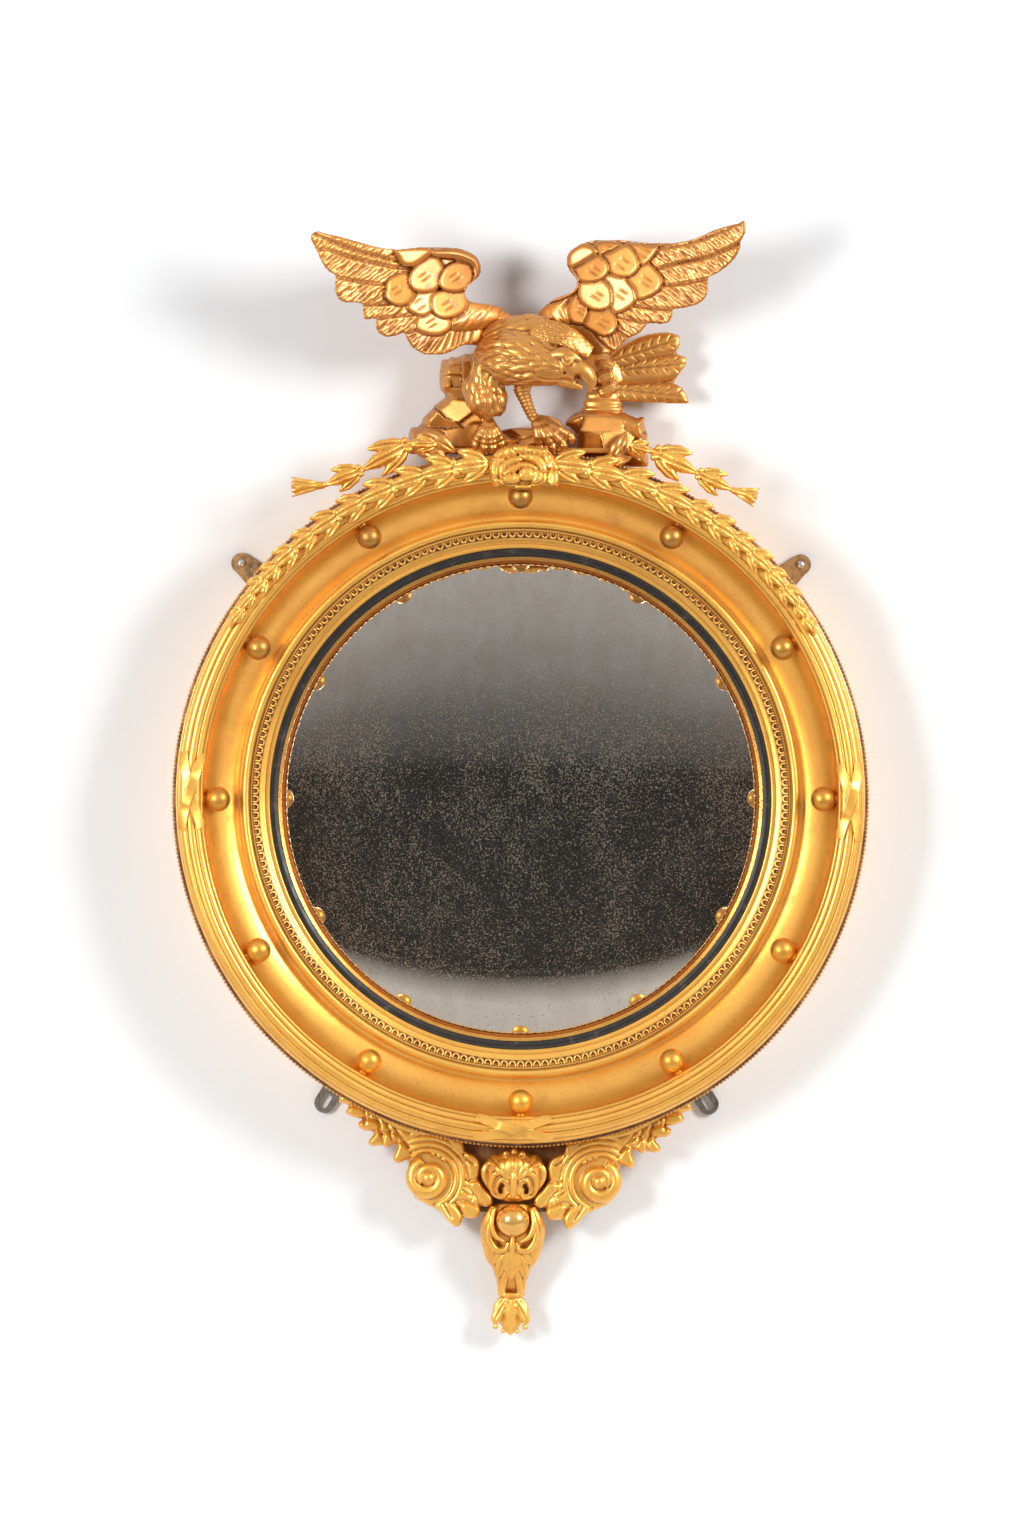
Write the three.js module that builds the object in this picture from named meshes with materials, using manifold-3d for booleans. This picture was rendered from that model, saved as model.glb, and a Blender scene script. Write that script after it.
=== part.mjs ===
// Girandole mirror: a convex glass in a turned and gilded ring, with an eagle on rockwork above
// it and an acanthus apron below. Millimetres, +Z up. The wall is the plane y = 0 and the front
// of the mirror faces -Y, so the depth of a point, its distance from the wall, is -y.
// The ring's axis is the Y axis.
import * as THREE from 'three';
import { mergeVertices } from 'three/addons/utils/BufferGeometryUtils.js';
import Module from 'manifold-3d';

const wasm = await Module();
wasm.setup();

// ---- Driving dimensions -----------------------------------------------------------------------
const FIT = 0.3; // gap between pieces that seat on one another

// Ring, from the glass outwards
const SIGHT_RADIUS = 251; // inner edge of the lip over the slip
const RING_FACETS = 48;
const LIP_COVER = 7; // how far the lip reaches in over the rebate
const LIP_BACK = 27.5; // depth of the back of that lip
const LIP_THICK = 9.5;
const SIGHT_COVE_WIDTH = 10; // plain hollow between the lip and the ornament strip
const STRIP_WIDTH = 9; // ornament strip round the sight edge
const STRIP_HEIGHT = 5;
const STRIP_BED_DEPTH = 47;
const STRIP_BED_RISE = 5; // the bed's outer edge stands this much further forward
const ASTRAGAL_WIDTH = 8;
const ASTRAGAL_DEPTH = 60; // wall to the crest of the astragal
const ASTRAGAL_QUIRK = 2.4; // flat beside the astragal
const COVE_RADIUS = 35; // of the hollow that holds the balls
const COVE_STEPS = 5;
const REED_COUNT = 5;
const REED_HEIGHT = 1.6;
const TORUS_WIDTH = 28; // reeded moulding
const TORUS_DEPTH = 92; // wall to the crest of the reeded moulding
const TORUS_RISE = 9; // how far that crest stands above the hollow's rim

// Bead edge
const BEAD_EDGE_WIDTH = 5;
const BEAD_EDGE_DEPTH = 56; // wall to the middle of the beads

// Back of the ring
const BOARD_LEDGE = 18; // step round the rebate that carries the backboard
const BOARD_THICK = 8;
const PLANK_COUNT = 3;
const BOARD_SCREW_ANGLES = [12, 58, 122, 168, 238, 302];

// Glass
const GLASS_THICK = 4;
const GLASS_BULGE = 66; // rise of the convex glass over its rim
const GLASS_CLEARANCE = 2; // round the glass in its rebate
const GLASS_RIM_DEPTH = 19; // wall to the front of the rim
const GLASS_STEPS = 4;
const SLIP_WIDTH = 7.5; // of the ebonised slip that shows inside the lip
const SLIP_DEPTH = 31; // wall to the slip's two reeds
const HOOP_WIDTH = 11; // strip that holds the glass in from behind

// Balls in the hollow
const BALL_COUNT = 12;
const BALL_RADIUS = 12.6;
const BALL_TURN = 15; // degrees, how far down the hollow's wall each ball sits

// Ribbon ties over the reeded moulding
const TIE_ANGLES = { tie_bottom: 181.2, tie_left: -88.6, tie_right: 90.4 };
const TIE_SPAN = 74; // along the moulding
const TIE_RISE = 24; // across it
const TIE_WIDTH = 8.5;
const TIE_THICK = 2.2;

// Hanging ears and slotted plates, let into the ring's back
const EAR_THICK = 3;
const EAR_REACH = 22.7; // ring wall to the screw hole
const EAR_END_RADIUS = 10.4;
const EAR_FOOT_HALF_WIDTH = 13.5;
const EAR_ANGLES = { left: -49.8, right: 50.1 }; // degrees from the top
const EAR_LAP = 26; // how far an ear lies on the ring
const SLOT_PLATES = { left: { angle: -147.2, reach: 19 }, right: { angle: 148.4, reach: 16 } };
const SLOT_PLATE_HALF_WIDTH = 10.4;
const SLOT_HALF_WIDTH = 4;
const SLOT_LENGTH = 16;
const SCREW_FACETS = 6;
const SCREW_HEAD_RADIUS = 4.2;
const SCREW_SHANK_RADIUS = 2.1;
const PLATE_SCREW_LENGTH = 16;
const BOARD_SCREW_LENGTH = 22;
const WALL_SCREW_LENGTH = 32;

// Crest: x across, z up from the ring's outer wall at the top, and depth from the wall
const CREST_BACK = 12; // the rocks' flat backs
const BASE_SIZE = { left: -112.5, right: 110, bottom: -5.6, top: 8, front: 50 };
const ROCK_FRONT = 58; // the rocks' fronts behind the feet
const LEFT_ROCK_RISE = 93;
const RIGHT_ROCK_RISE = 35;
const MIDDLE_ROCK_RISE = 25;
const TAIL_FRONT = 36; // the tail lies behind the wings
const WING_BACK = TAIL_FRONT + FIT;
const WING_ROOT_FRONT = 45; // the wings' roots lie behind the body
const WING_ROOT = 10; // distance from the middle at which the wings' sweep starts
const WING_SWEEP = { left: 0.58, right: 0.38 }; // forward for each millimetre outwards
const FOOT_BACK = ROCK_FRONT + FIT; // the feet grip the rocks' fronts
const ROSETTE = { x: 4.5, z: -12, halfWidth: 36, halfHeight: 23, rise: 16 };
const SWAG_OFFSET = 3.5; // the swags' line runs this much outside the middle of the moulding
const SWAG_RISE = 2.5; // and this much in front of it
const SWAG_KNOTS = { left: [-16.2, -27.4, -37.6, -46, -52.3, -58.5], right: [17, 29.5, 38.5, 46.8, 54.7, 59.9] };
const STEM_RADIUS = 3.6; // of the sprays
const SWAG_START = 6; // degrees from the top, beside the rosette

// Apron: u outwards from its own axis, z up from the ring's outer wall at the bottom
const APRON_SHIFT = -6.7; // the apron hangs a little to the left
const APRON_TILT = 1.3; // degrees, clockwise
const APRON_BOARD_FRONT = 34;
const CLEAT_BACK = 3;
const CLEAT_FRONT = 22;
const CLEAT_HALF_WIDTH = 52;
const CLEAT_BOTTOM = -70;
const CLEAT_LAP = 20; // how far the cleat reaches up behind the ring's edge
const BOSS = { z: -32.5, halfWidth: 28.5, halfHeight: 27, rise: 36 };
const VOLUTE = { u: 85.5, z: -37, radius: 24, eye: 9, turns: 1.6 };
const PENDANT_TOP = -60.2;
const PENDANT_BALL = { z: -78, radius: 16.8, depth: 45 };
const PENDANT_LEAN = 0.1; // back towards the wall for each millimetre below the cleat

// ---- Materials --------------------------------------------------------------------------------
const material = (color, roughness, metalness) =>
  new THREE.MeshStandardMaterial({ color, roughness, metalness });
const gilding = material(0xd69a3c, 0.38, 0.9);
const agedGilding = material(0xb9762c, 0.45, 0.85);
const ebonised = material(0x26211c, 0.5, 0);
const silvering = material(0x8f8a80, 0.06, 1);
const pine = material(0x9b7448, 0.8, 0);
const iron = material(0x6d655c, 0.5, 0.8);
const screwSteel = material(0xb4b3ae, 0.35, 0.9);

// ---- Solids -----------------------------------------------------------------------------------
const rad = THREE.MathUtils.degToRad;
const lerp = THREE.MathUtils.lerp;
const FRONT = new THREE.Vector3(0, -1, 0);

/** A point from its place across the wall and its depth. */
const at = (x, z, depth) => new THREE.Vector3(x, -depth, z);

/** A place at a distance from the ring's axis, at an angle from the top. */
const polar = (radius, angle) => [radius * Math.sin(rad(angle)), radius * Math.cos(rad(angle))];

/** A closed geometry as a manifold solid. */
function solid(geometry) {
  const bare = new THREE.BufferGeometry();
  bare.setAttribute('position', geometry.getAttribute('position'));
  if (geometry.index) bare.setIndex(geometry.index);
  const merged = mergeVertices(bare, 1e-3);
  const corners = merged.index.array;
  const faces = [];
  for (let i = 0; i < corners.length; i += 3) {
    const [a, b, c] = corners.slice(i, i + 3);
    if (a !== b && b !== c && c !== a) faces.push(a, b, c);
  }
  return new wasm.Manifold(new wasm.Mesh({
    numProp: 3,
    vertProperties: new Float32Array(merged.attributes.position.array),
    triVerts: new Uint32Array(faces),
  }));
}

/** A manifold solid as a geometry for a mesh. */
function geometryOf(body) {
  const mesh = body.getMesh();
  const position = new Float32Array(mesh.numVert * 3);
  for (let i = 0; i < mesh.numVert; i++) {
    const start = i * mesh.numProp;
    position.set(mesh.vertProperties.subarray(start, start + 3), i * 3);
  }
  const geometry = new THREE.BufferGeometry();
  geometry.setAttribute('position', new THREE.BufferAttribute(position, 3));
  geometry.setIndex(new THREE.BufferAttribute(mesh.triVerts, 1));
  geometry.computeVertexNormals();
  return geometry;
}

const fuse = (...bodies) => bodies.flat(2).reduce((all, body) => all.add(body));
const cut = (body, ...tools) => tools.flat().reduce((left, tool) => left.subtract(tool), body);

/** The largest connected piece of a solid, without chips that a cut has left. */
function largest(body) {
  const size = (piece) => piece.volume();
  return body.decompose().sort((a, b) => size(b) - size(a))[0];
}

/** A box between two corners given as [x, z, depth]. */
function block(low, high) {
  const size = high.map((value, i) => value - low[i]);
  const geometry = new THREE.BoxGeometry(size[0], size[2], size[1]);
  geometry.translate(low[0] + size[0] / 2, -(low[2] + size[2] / 2), low[1] + size[1] / 2);
  return solid(geometry);
}

/**
 * Turns a [radius, depth] outline round the ring's axis, or round a parallel axis through a place.
 * An outline that starts and ends on the axis isn't closed.
 */
function turned(outline, facets = RING_FACETS, closed = true, [x, z] = [0, 0]) {
  const points = outline.map(([radius, depth]) => new THREE.Vector2(radius, -depth));
  if (closed) points.push(points[0].clone());
  const geometry = new THREE.LatheGeometry(points, facets).translate(x, 0, z);
  const body = solid(geometry);
  return body.volume() < 0 ? solid(flipped(geometry)) : body;
}

/** The same geometry with its faces turned over. */
function flipped(geometry) {
  return geometry.setIndex([...geometry.index.array].reverse());
}

/** Joins rings of points, in order, and closes both ends with a fan. */
function loft(rings) {
  const count = rings[0].length;
  const middle = (ring) => ring.reduce((sum, p) => sum.add(p), new THREE.Vector3())
    .divideScalar(count);
  const points = [...rings.flat(), middle(rings[0]), middle(rings[rings.length - 1])];
  const first = rings.length * count;
  const last = (rings.length - 1) * count;
  const faces = [];
  for (let j = 0; j < count; j++) {
    const next = (j + 1) % count;
    for (let i = 0; i < rings.length - 1; i++) {
      const [a, b, c, d] = [i * count + j, i * count + next, (i + 1) * count + next, (i + 1) * count + j];
      faces.push(a, b, c, a, c, d);
    }
    faces.push(first, next, j, first + 1, last + j, last + next);
  }
  const geometry = new THREE.BufferGeometry().setFromPoints(points).setIndex(faces);
  const body = solid(geometry);
  return body.volume() < 0 ? solid(flipped(geometry)) : body;
}

// ---- Carved forms -----------------------------------------------------------------------------
/** Half-widths along a blade, as shares of its widest, from root to tip. */
const LEAF = (t) => Math.sin(Math.PI * Math.min(1, 0.12 + 0.88 * t)) ** 0.7;
const FEATHER = (t) => Math.min(1, 0.62 + 0.9 * t) * Math.sqrt(Math.max(0, 1 - t ** 5));
const LOBE = (t) => (0.55 + 0.6 * t) * Math.sqrt(Math.max(0, 1 - t ** 4));

/** Sections of a blade, as shares of its half-width and thickness. */
const RIDGED = [[-1, 0], [0, 1], [1, 0], [0, -1]];
const CHANNELLED = [[-1, 0], [-0.55, 1], [0, 0.65], [0.55, 1], [1, 0], [0, -1]];

/**
 * A leaf, feather or lobe: a lens-shaped section, with a ridge or a channel down its middle, swept
 * along a curve through the points given. Its face looks away from the wall.
 */
function blade(points, { half, thick, form = LEAF, steps = 2, section = RIDGED }) {
  const spine = new THREE.CatmullRomCurve3(points);
  const rings = [];
  for (let i = 0; i <= steps; i++) {
    const t = i / steps;
    const centre = spine.getPoint(t);
    const along = spine.getTangent(t);
    const side = new THREE.Vector3().crossVectors(along, FRONT).normalize();
    const up = new THREE.Vector3().crossVectors(side, along).normalize();
    const share = i < steps ? form(t) : 0;
    rings.push(section.map(([s, u]) => centre.clone()
      .addScaledVector(side, s * half * share)
      .addScaledVector(up, u * thick * share)));
  }
  return loft(rings);
}

/** A round limb: circles or ellipses of the given radii along a curve. */
function limb(points, radii, { sides = 6, steps = 4, squash = 1 } = {}) {
  const spine = new THREE.CatmullRomCurve3(points);
  const rings = [];
  for (let i = 0; i <= steps; i++) {
    const t = i / steps;
    const along = spine.getTangent(t);
    const side = new THREE.Vector3().crossVectors(along, FRONT).normalize();
    const up = new THREE.Vector3().crossVectors(side, along).normalize();
    const place = t * (radii.length - 1);
    const k = Math.min(radii.length - 2, Math.floor(place));
    const radius = lerp(radii[k], radii[k + 1], place - k);
    const centre = spine.getPoint(t);
    rings.push(Array.from({ length: sides }, (_, j) => {
      const a = (2 * Math.PI * j) / sides;
      return centre.clone().addScaledVector(side, radius * Math.cos(a))
        .addScaledVector(up, radius * squash * Math.sin(a));
    }));
  }
  return loft(rings);
}

/** A ball with few facets, as a berry, an eye or a bud. */
function ball(centre, radius, around = 8, down = 5) {
  return solid(new THREE.SphereGeometry(radius, around, down).translate(...centre.toArray()));
}

/** A husk of one leaf, or of three where they spread, with a berry at its root. */
function husk(from, to, half, spread) {
  const along = new THREE.Vector3().subVectors(to, from).normalize();
  const side = new THREE.Vector3().crossVectors(along, FRONT).normalize();
  const leaf = (turn, reach, width) => {
    const tip = to.clone().addScaledVector(side, turn);
    const bow = from.clone().lerp(to, 0.5)
      .addScaledVector(side, turn * 0.75)
      .addScaledVector(FRONT, half * 0.25);
    return blade([from, bow, from.clone().lerp(tip, reach)], { half: width, thick: half * 0.5 });
  };
  return fuse(
    spread ? [leaf(-spread, 0.94, half * 0.8), leaf(spread, 0.94, half * 0.8)] : [],
    leaf(0, 1, half),
    spread ? ball(from.clone().addScaledVector(FRONT, half * 0.3), half * 0.5, 5, 3) : [],
  );
}

// ---- Ring -------------------------------------------------------------------------------------
const stripInner = SIGHT_RADIUS + SIGHT_COVE_WIDTH;
const stripOuter = stripInner + STRIP_WIDTH + 2 * FIT;
const coveInner = stripOuter + ASTRAGAL_WIDTH + ASTRAGAL_QUIRK;
const coveOuter = coveInner + COVE_RADIUS;
const torusMiddle = coveOuter + TORUS_WIDTH / 2;
const ringRadius = coveOuter + TORUS_WIDTH; // outer wall of the ring, under the bead edge
const rimDepth = TORUS_DEPTH - TORUS_RISE;
const torusFoot = rimDepth - TORUS_RISE;
const edgeRadius = ringRadius + BEAD_EDGE_WIDTH;
const rebateRadius = SIGHT_RADIUS + LIP_COVER;
const boardRadius = rebateRadius + BOARD_LEDGE;
const far = 2 * ringRadius; // beyond every piece

/** Everything behind a depth. */
const behind = (depth) => block([-far, -far, -far], [far, far, depth]);

/** A point of the crest, and one of the apron before it tilts: z starts at the ring's wall. */
const overRing = (x, z, depth) => at(x, ringRadius + z, depth);
const underRing = (x, z, depth) => at(x, z - ringRadius, depth);

/** The hollow that holds the balls: a quarter circle from its inner edge to its rim. */
function coveOutline() {
  return Array.from({ length: COVE_STEPS + 1 }, (_, i) => {
    const a = (Math.PI / 2) * (1 - i / COVE_STEPS);
    return [coveInner + COVE_RADIUS * Math.cos(a), rimDepth - COVE_RADIUS * Math.sin(a)];
  });
}

/** The outer moulding, a half oval. groove is the depth of the valleys between its reeds. */
function torusOutline(groove, grow = 0) {
  const steps = REED_COUNT * 2;
  return Array.from({ length: steps + 1 }, (_, i) => {
    const a = Math.PI * (1 - i / steps);
    const inside = i > 0 && i < steps && i % 2 === 0;
    const proud = grow - (inside ? groove : 0);
    return [
      torusMiddle + (TORUS_WIDTH / 2 + proud) * Math.cos(a),
      torusFoot + (TORUS_DEPTH - torusFoot + proud) * Math.sin(a),
    ];
  });
}

function mainFrame() {
  const lipFront = LIP_BACK + LIP_THICK;
  const ring = turned([
    [boardRadius + FIT, 0],
    [boardRadius + FIT, BOARD_THICK + FIT],
    [rebateRadius, BOARD_THICK + FIT],
    [rebateRadius, LIP_BACK],
    [SIGHT_RADIUS, LIP_BACK],
    [SIGHT_RADIUS, lipFront],
    [stripInner - 4, lipFront + 3],
    [stripInner, STRIP_BED_DEPTH],
    [stripOuter, STRIP_BED_DEPTH + STRIP_BED_RISE],
    [stripOuter + 1, ASTRAGAL_DEPTH - 1],
    [stripOuter + ASTRAGAL_WIDTH / 2, ASTRAGAL_DEPTH],
    [stripOuter + ASTRAGAL_WIDTH - 1, ASTRAGAL_DEPTH - 2],
    ...coveOutline(),
    ...torusOutline(REED_HEIGHT).slice(1, -1),
    [ringRadius, torusFoot],
    [ringRadius, 0],
  ]);
  return cut(ring, hangerPockets(), screwBores());
}

/** The room that the ring takes, one gap larger: it shapes the seats of what sits against it. */
function ringRoom() {
  const foot = coveOutline().map(([r, depth]) => [r - FIT, depth + FIT]);
  return turned([
    [coveInner - FIT, -5],
    ...foot.slice(0, -1),
    ...torusOutline(0, FIT).slice(1, -1),
    [ringRadius + FIT, torusFoot],
    [ringRadius + FIT, -5],
  ]);
}

/** The room that the bead edge takes, one gap larger. */
function edgeRoom() {
  const half = BEAD_EDGE_WIDTH / 2 + 1 + FIT;
  return turned([
    [ringRadius - 2, BEAD_EDGE_DEPTH - half],
    [edgeRadius + FIT, BEAD_EDGE_DEPTH - half],
    [edgeRadius + FIT, BEAD_EDGE_DEPTH + half],
    [ringRadius - 2, BEAD_EDGE_DEPTH + half],
  ]);
}

const ringClearance = fuse(ringRoom(), edgeRoom());

function beadEdge() {
  const half = BEAD_EDGE_WIDTH / 2;
  return turned([
    [ringRadius + FIT, BEAD_EDGE_DEPTH - half],
    [edgeRadius, BEAD_EDGE_DEPTH - half * 0.4],
    [edgeRadius, BEAD_EDGE_DEPTH + half * 0.4],
    [ringRadius + FIT, BEAD_EDGE_DEPTH + half],
  ]);
}

function sightOrnament() {
  const bed = (r) => STRIP_BED_DEPTH + FIT + (STRIP_BED_RISE * (r - stripInner)) / (stripOuter - stripInner);
  const inner = stripInner + FIT;
  const outer = stripOuter - FIT;
  const middle = (inner + outer) / 2;
  return turned([
    [inner, bed(inner)],
    [middle - 2, bed(middle) + STRIP_HEIGHT * 0.9],
    [middle + 2, bed(middle) + STRIP_HEIGHT],
    [outer, bed(outer)],
  ]);
}

// ---- Glass and what holds it ------------------------------------------------------------------
const glassRadius = rebateRadius - GLASS_CLEARANCE;
const slipRadius = SIGHT_RADIUS - SLIP_WIDTH;
const glassCurve = (glassRadius ** 2 + GLASS_BULGE ** 2) / (2 * GLASS_BULGE);

/** Depth of the glass's front at a distance from the axis. */
function glassDepth(radius) {
  const rise = Math.sqrt(glassCurve ** 2 - radius ** 2) - (glassCurve - GLASS_BULGE);
  return GLASS_RIM_DEPTH + rise;
}

function mirrorGlass() {
  const radii = Array.from({ length: GLASS_STEPS + 1 }, (_, i) =>
    glassRadius * Math.sin((Math.PI / 2) * (i / GLASS_STEPS)));
  const front = radii.map((r) => [r, glassDepth(r)]);
  const back = radii.map((r) => [r, glassDepth(r) - GLASS_THICK]).reverse();
  return turned([...front, ...back], RING_FACETS, false);
}

function ebonisedSlip() {
  const outer = rebateRadius - FIT;
  const front = LIP_BACK - FIT;
  const lip = SIGHT_RADIUS - FIT;
  const middle = (slipRadius + lip) / 2;
  return turned([
    [outer, GLASS_RIM_DEPTH + FIT],
    [glassRadius, GLASS_RIM_DEPTH + FIT],
    [slipRadius, glassDepth(slipRadius) + FIT],
    [slipRadius + 1.2, SLIP_DEPTH],
    [middle, SLIP_DEPTH - 1.6],
    [lip - 1.2, SLIP_DEPTH],
    [lip, front],
    [outer, front],
  ]);
}

function retainingHoop() {
  const outer = rebateRadius - FIT;
  const inner = outer - HOOP_WIDTH;
  return turned([
    [inner, BOARD_THICK + FIT],
    [outer, BOARD_THICK + FIT],
    [outer, GLASS_RIM_DEPTH - GLASS_THICK - FIT],
    [inner, GLASS_RIM_DEPTH - GLASS_THICK - FIT],
  ]);
}

const plankWidth = (2 * boardRadius) / PLANK_COUNT;

function plank(i) {
  const disc = turned([[0, 0], [boardRadius, 0], [boardRadius, BOARD_THICK], [0, BOARD_THICK]], RING_FACETS, false);
  const low = -boardRadius + i * plankWidth + (i ? FIT / 2 : -1);
  const high = -boardRadius + (i + 1) * plankWidth - (i < PLANK_COUNT - 1 ? FIT / 2 : -1);
  const strip = block([low, -ringRadius, -1], [high, ringRadius, BOARD_THICK + 1]);
  return cut(disc.intersect(strip), boardScrewPlaces().map(([x, z]) => screwHole(x, z, BOARD_SCREW_LENGTH)));
}

// ---- Screws, ears and slotted plates ----------------------------------------------------------
const boardScrewPlaces = () => BOARD_SCREW_ANGLES.map((angle) => polar(rebateRadius + BOARD_LEDGE / 2, angle));

/** The outline of a countersunk screw whose head is flush with the back; grow widens it to a bore. */
function screwOutline(length, grow) {
  const head = SCREW_HEAD_RADIUS + grow;
  const shank = SCREW_SHANK_RADIUS + grow;
  const face = grow ? -1 : 0.2;
  return [
    [0, face],
    [head, face],
    [head, 0.5],
    [shank, 0.5 + head - shank],
    [shank, length - 3 + grow],
    [0, length + grow],
  ];
}

function screw(x, z, length) {
  return turned(screwOutline(length, 0), SCREW_FACETS, false, [x, z]);
}

function screwHole(x, z, length) {
  return turned(screwOutline(length, FIT), SCREW_FACETS, false, [x, z]);
}

const earLapPlace = (angle) => polar(ringRadius - EAR_LAP / 2, angle);

const hangerAngles = {
  ear_left: EAR_ANGLES.left,
  ear_right: EAR_ANGLES.right,
  slotted_left: SLOT_PLATES.left.angle,
  slotted_right: SLOT_PLATES.right.angle,
};

function screwBores() {
  const plates = Object.values(hangerAngles).map((angle) => screwHole(...earLapPlace(angle), PLATE_SCREW_LENGTH));
  const board = boardScrewPlaces().map(([x, z]) => screwHole(x, z, BOARD_SCREW_LENGTH));
  return [...plates, ...board];
}

/** A flat plate of a given outline, between two depths, turned to an angle from the top. */
function plateGeometry(shape, from, to, angle = 0, curveSegments = 5) {
  const geometry = new THREE.ExtrudeGeometry(shape, { depth: to - from, bevelEnabled: false, curveSegments });
  geometry.rotateX(Math.PI / 2);
  geometry.translate(0, -from, 0);
  return geometry.rotateY(rad(angle));
}

const plate = (...settings) => solid(plateGeometry(...settings));

/** A tongue that lies on the ring and ends in a half circle beyond its wall. */
function tongue(foot, end, reach, grow) {
  const top = ringRadius + reach;
  const shape = new THREE.Shape();
  shape.moveTo(-foot - grow, ringRadius - EAR_LAP - grow);
  shape.lineTo(foot + grow, ringRadius - EAR_LAP - grow);
  shape.lineTo(foot + grow, ringRadius + 1);
  shape.lineTo(end + grow, top - 3);
  shape.absarc(0, top, end + grow, 0, Math.PI, false);
  shape.lineTo(-end - grow, top - 3);
  shape.lineTo(-foot - grow, ringRadius + 1);
  shape.closePath();
  return shape;
}

const earTongue = (grow) => tongue(EAR_FOOT_HALF_WIDTH, EAR_END_RADIUS, EAR_REACH, grow);
const slotTongue = (side, grow) =>
  tongue(SLOT_PLATE_HALF_WIDTH, SLOT_PLATE_HALF_WIDTH, SLOT_PLATES[side].reach, grow);

function hangerPockets() {
  const depth = EAR_THICK + FIT;
  return [
    plate(earTongue(FIT), -1, depth, EAR_ANGLES.left),
    plate(earTongue(FIT), -1, depth, EAR_ANGLES.right),
    plate(slotTongue('left', FIT), -1, depth, SLOT_PLATES.left.angle),
    plate(slotTongue('right', FIT), -1, depth, SLOT_PLATES.right.angle),
  ];
}

function ear(side) {
  const angle = EAR_ANGLES[side];
  const shape = earTongue(0);
  const hole = new THREE.Path().absarc(0, ringRadius + EAR_REACH, SCREW_SHANK_RADIUS + FIT, 0, 2 * Math.PI, true);
  shape.holes.push(hole);
  return cut(plate(shape, 0.2, EAR_THICK, angle), screwHole(...earLapPlace(angle), PLATE_SCREW_LENGTH));
}

function slottedPlate(side) {
  const { angle, reach } = SLOT_PLATES[side];
  const shape = slotTongue(side, 0);
  const high = ringRadius + reach + 2;
  const low = high - SLOT_LENGTH + 2 * SLOT_HALF_WIDTH;
  const slot = new THREE.Path();
  slot.absarc(0, high, SLOT_HALF_WIDTH, 0, Math.PI, false);
  slot.absarc(0, low, SLOT_HALF_WIDTH, Math.PI, 2 * Math.PI, false);
  slot.closePath();
  shape.holes.push(slot);
  return cut(plate(shape, 0.2, EAR_THICK, angle), screwHole(...earLapPlace(angle), PLATE_SCREW_LENGTH));
}

/** A round-headed screw through an ear into the wall. */
function wallScrew(side) {
  const place = polar(ringRadius + EAR_REACH, EAR_ANGLES[side]);
  const head = EAR_THICK + FIT;
  const tip = head - WALL_SCREW_LENGTH;
  return turned([
    [0, tip],
    [SCREW_SHANK_RADIUS, tip + 5],
    [SCREW_SHANK_RADIUS, head],
    [SCREW_HEAD_RADIUS, head],
    [SCREW_HEAD_RADIUS * 0.8, head + 1.8],
    [0, head + 2.6],
  ], 8, false, place);
}

// ---- Balls and ribbon ties --------------------------------------------------------------------
const ballSeat = COVE_RADIUS - BALL_RADIUS - FIT;
const ballRing = coveInner + ballSeat * Math.cos(rad(BALL_TURN));
const ballDepth = rimDepth - ballSeat * Math.sin(rad(BALL_TURN));

function mouldingBall(i) {
  const [x, z] = polar(ballRing, (360 / BALL_COUNT) * i);
  return ball(at(x, z, ballDepth), BALL_RADIUS, 8, 5);
}

/** The reeded moulding's envelope, grown, as a solid ring. */
function torusEnvelope(grow) {
  return turned([
    [coveOuter, torusFoot],
    ...torusOutline(0, grow).slice(1, -1),
    [ringRadius, torusFoot],
  ]);
}

const tieShell = cut(torusEnvelope(FIT + TIE_THICK), torusEnvelope(FIT));

/** Two crossed ribbons, bent over the reeded moulding. */
function ribbonTie(angle) {
  const turn = Math.atan2(TIE_RISE - TIE_WIDTH, TIE_SPAN - TIE_WIDTH);
  const length = Math.hypot(TIE_SPAN, TIE_RISE) / 2;
  const band = (way) => {
    const shape = new THREE.Shape();
    const ends = [[-length, -TIE_WIDTH / 2], [length, -TIE_WIDTH / 2], [length, TIE_WIDTH / 2], [-length, TIE_WIDTH / 2]];
    const points = ends.map(([u, v]) => new THREE.Vector2(
      u * Math.cos(turn) - v * Math.sin(turn) * way,
      torusMiddle + (u * Math.sin(turn) * way + v * Math.cos(turn)),
    ));
    shape.setFromPoints(points);
    return plate(shape, torusFoot, TORUS_DEPTH + 10, angle);
  };
  return largest(fuse(band(1), band(-1)).intersect(tieShell));
}

// ---- Crest ------------------------------------------------------------------------------------
/** A faceted rock: outlines of [x, depth] points, each at its own height. */
function rock(levels) {
  return loft(levels.map(([z, outline]) => outline.map(([x, depth]) => overRing(x, z, depth))));
}

function crestBase() {
  const { left, right, bottom, top, front } = BASE_SIZE;
  const bar = block([left, ringRadius + bottom, CREST_BACK], [right, ringRadius + top, front]);
  const middle = rock([
    [top - 2, [[-43, CREST_BACK + 8], [43, CREST_BACK + 8], [44, ROCK_FRONT], [-43, ROCK_FRONT]]],
    [top + 18, [[-42, CREST_BACK + 10], [42, CREST_BACK + 8], [43, ROCK_FRONT], [-42, ROCK_FRONT]]],
    [top + MIDDLE_ROCK_RISE, [[-34, CREST_BACK + 16], [30, CREST_BACK + 14], [32, ROCK_FRONT - 5], [-36, ROCK_FRONT - 4]]],
  ]);
  return largest(cut(fuse(bar, middle), ringClearance));
}

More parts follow.
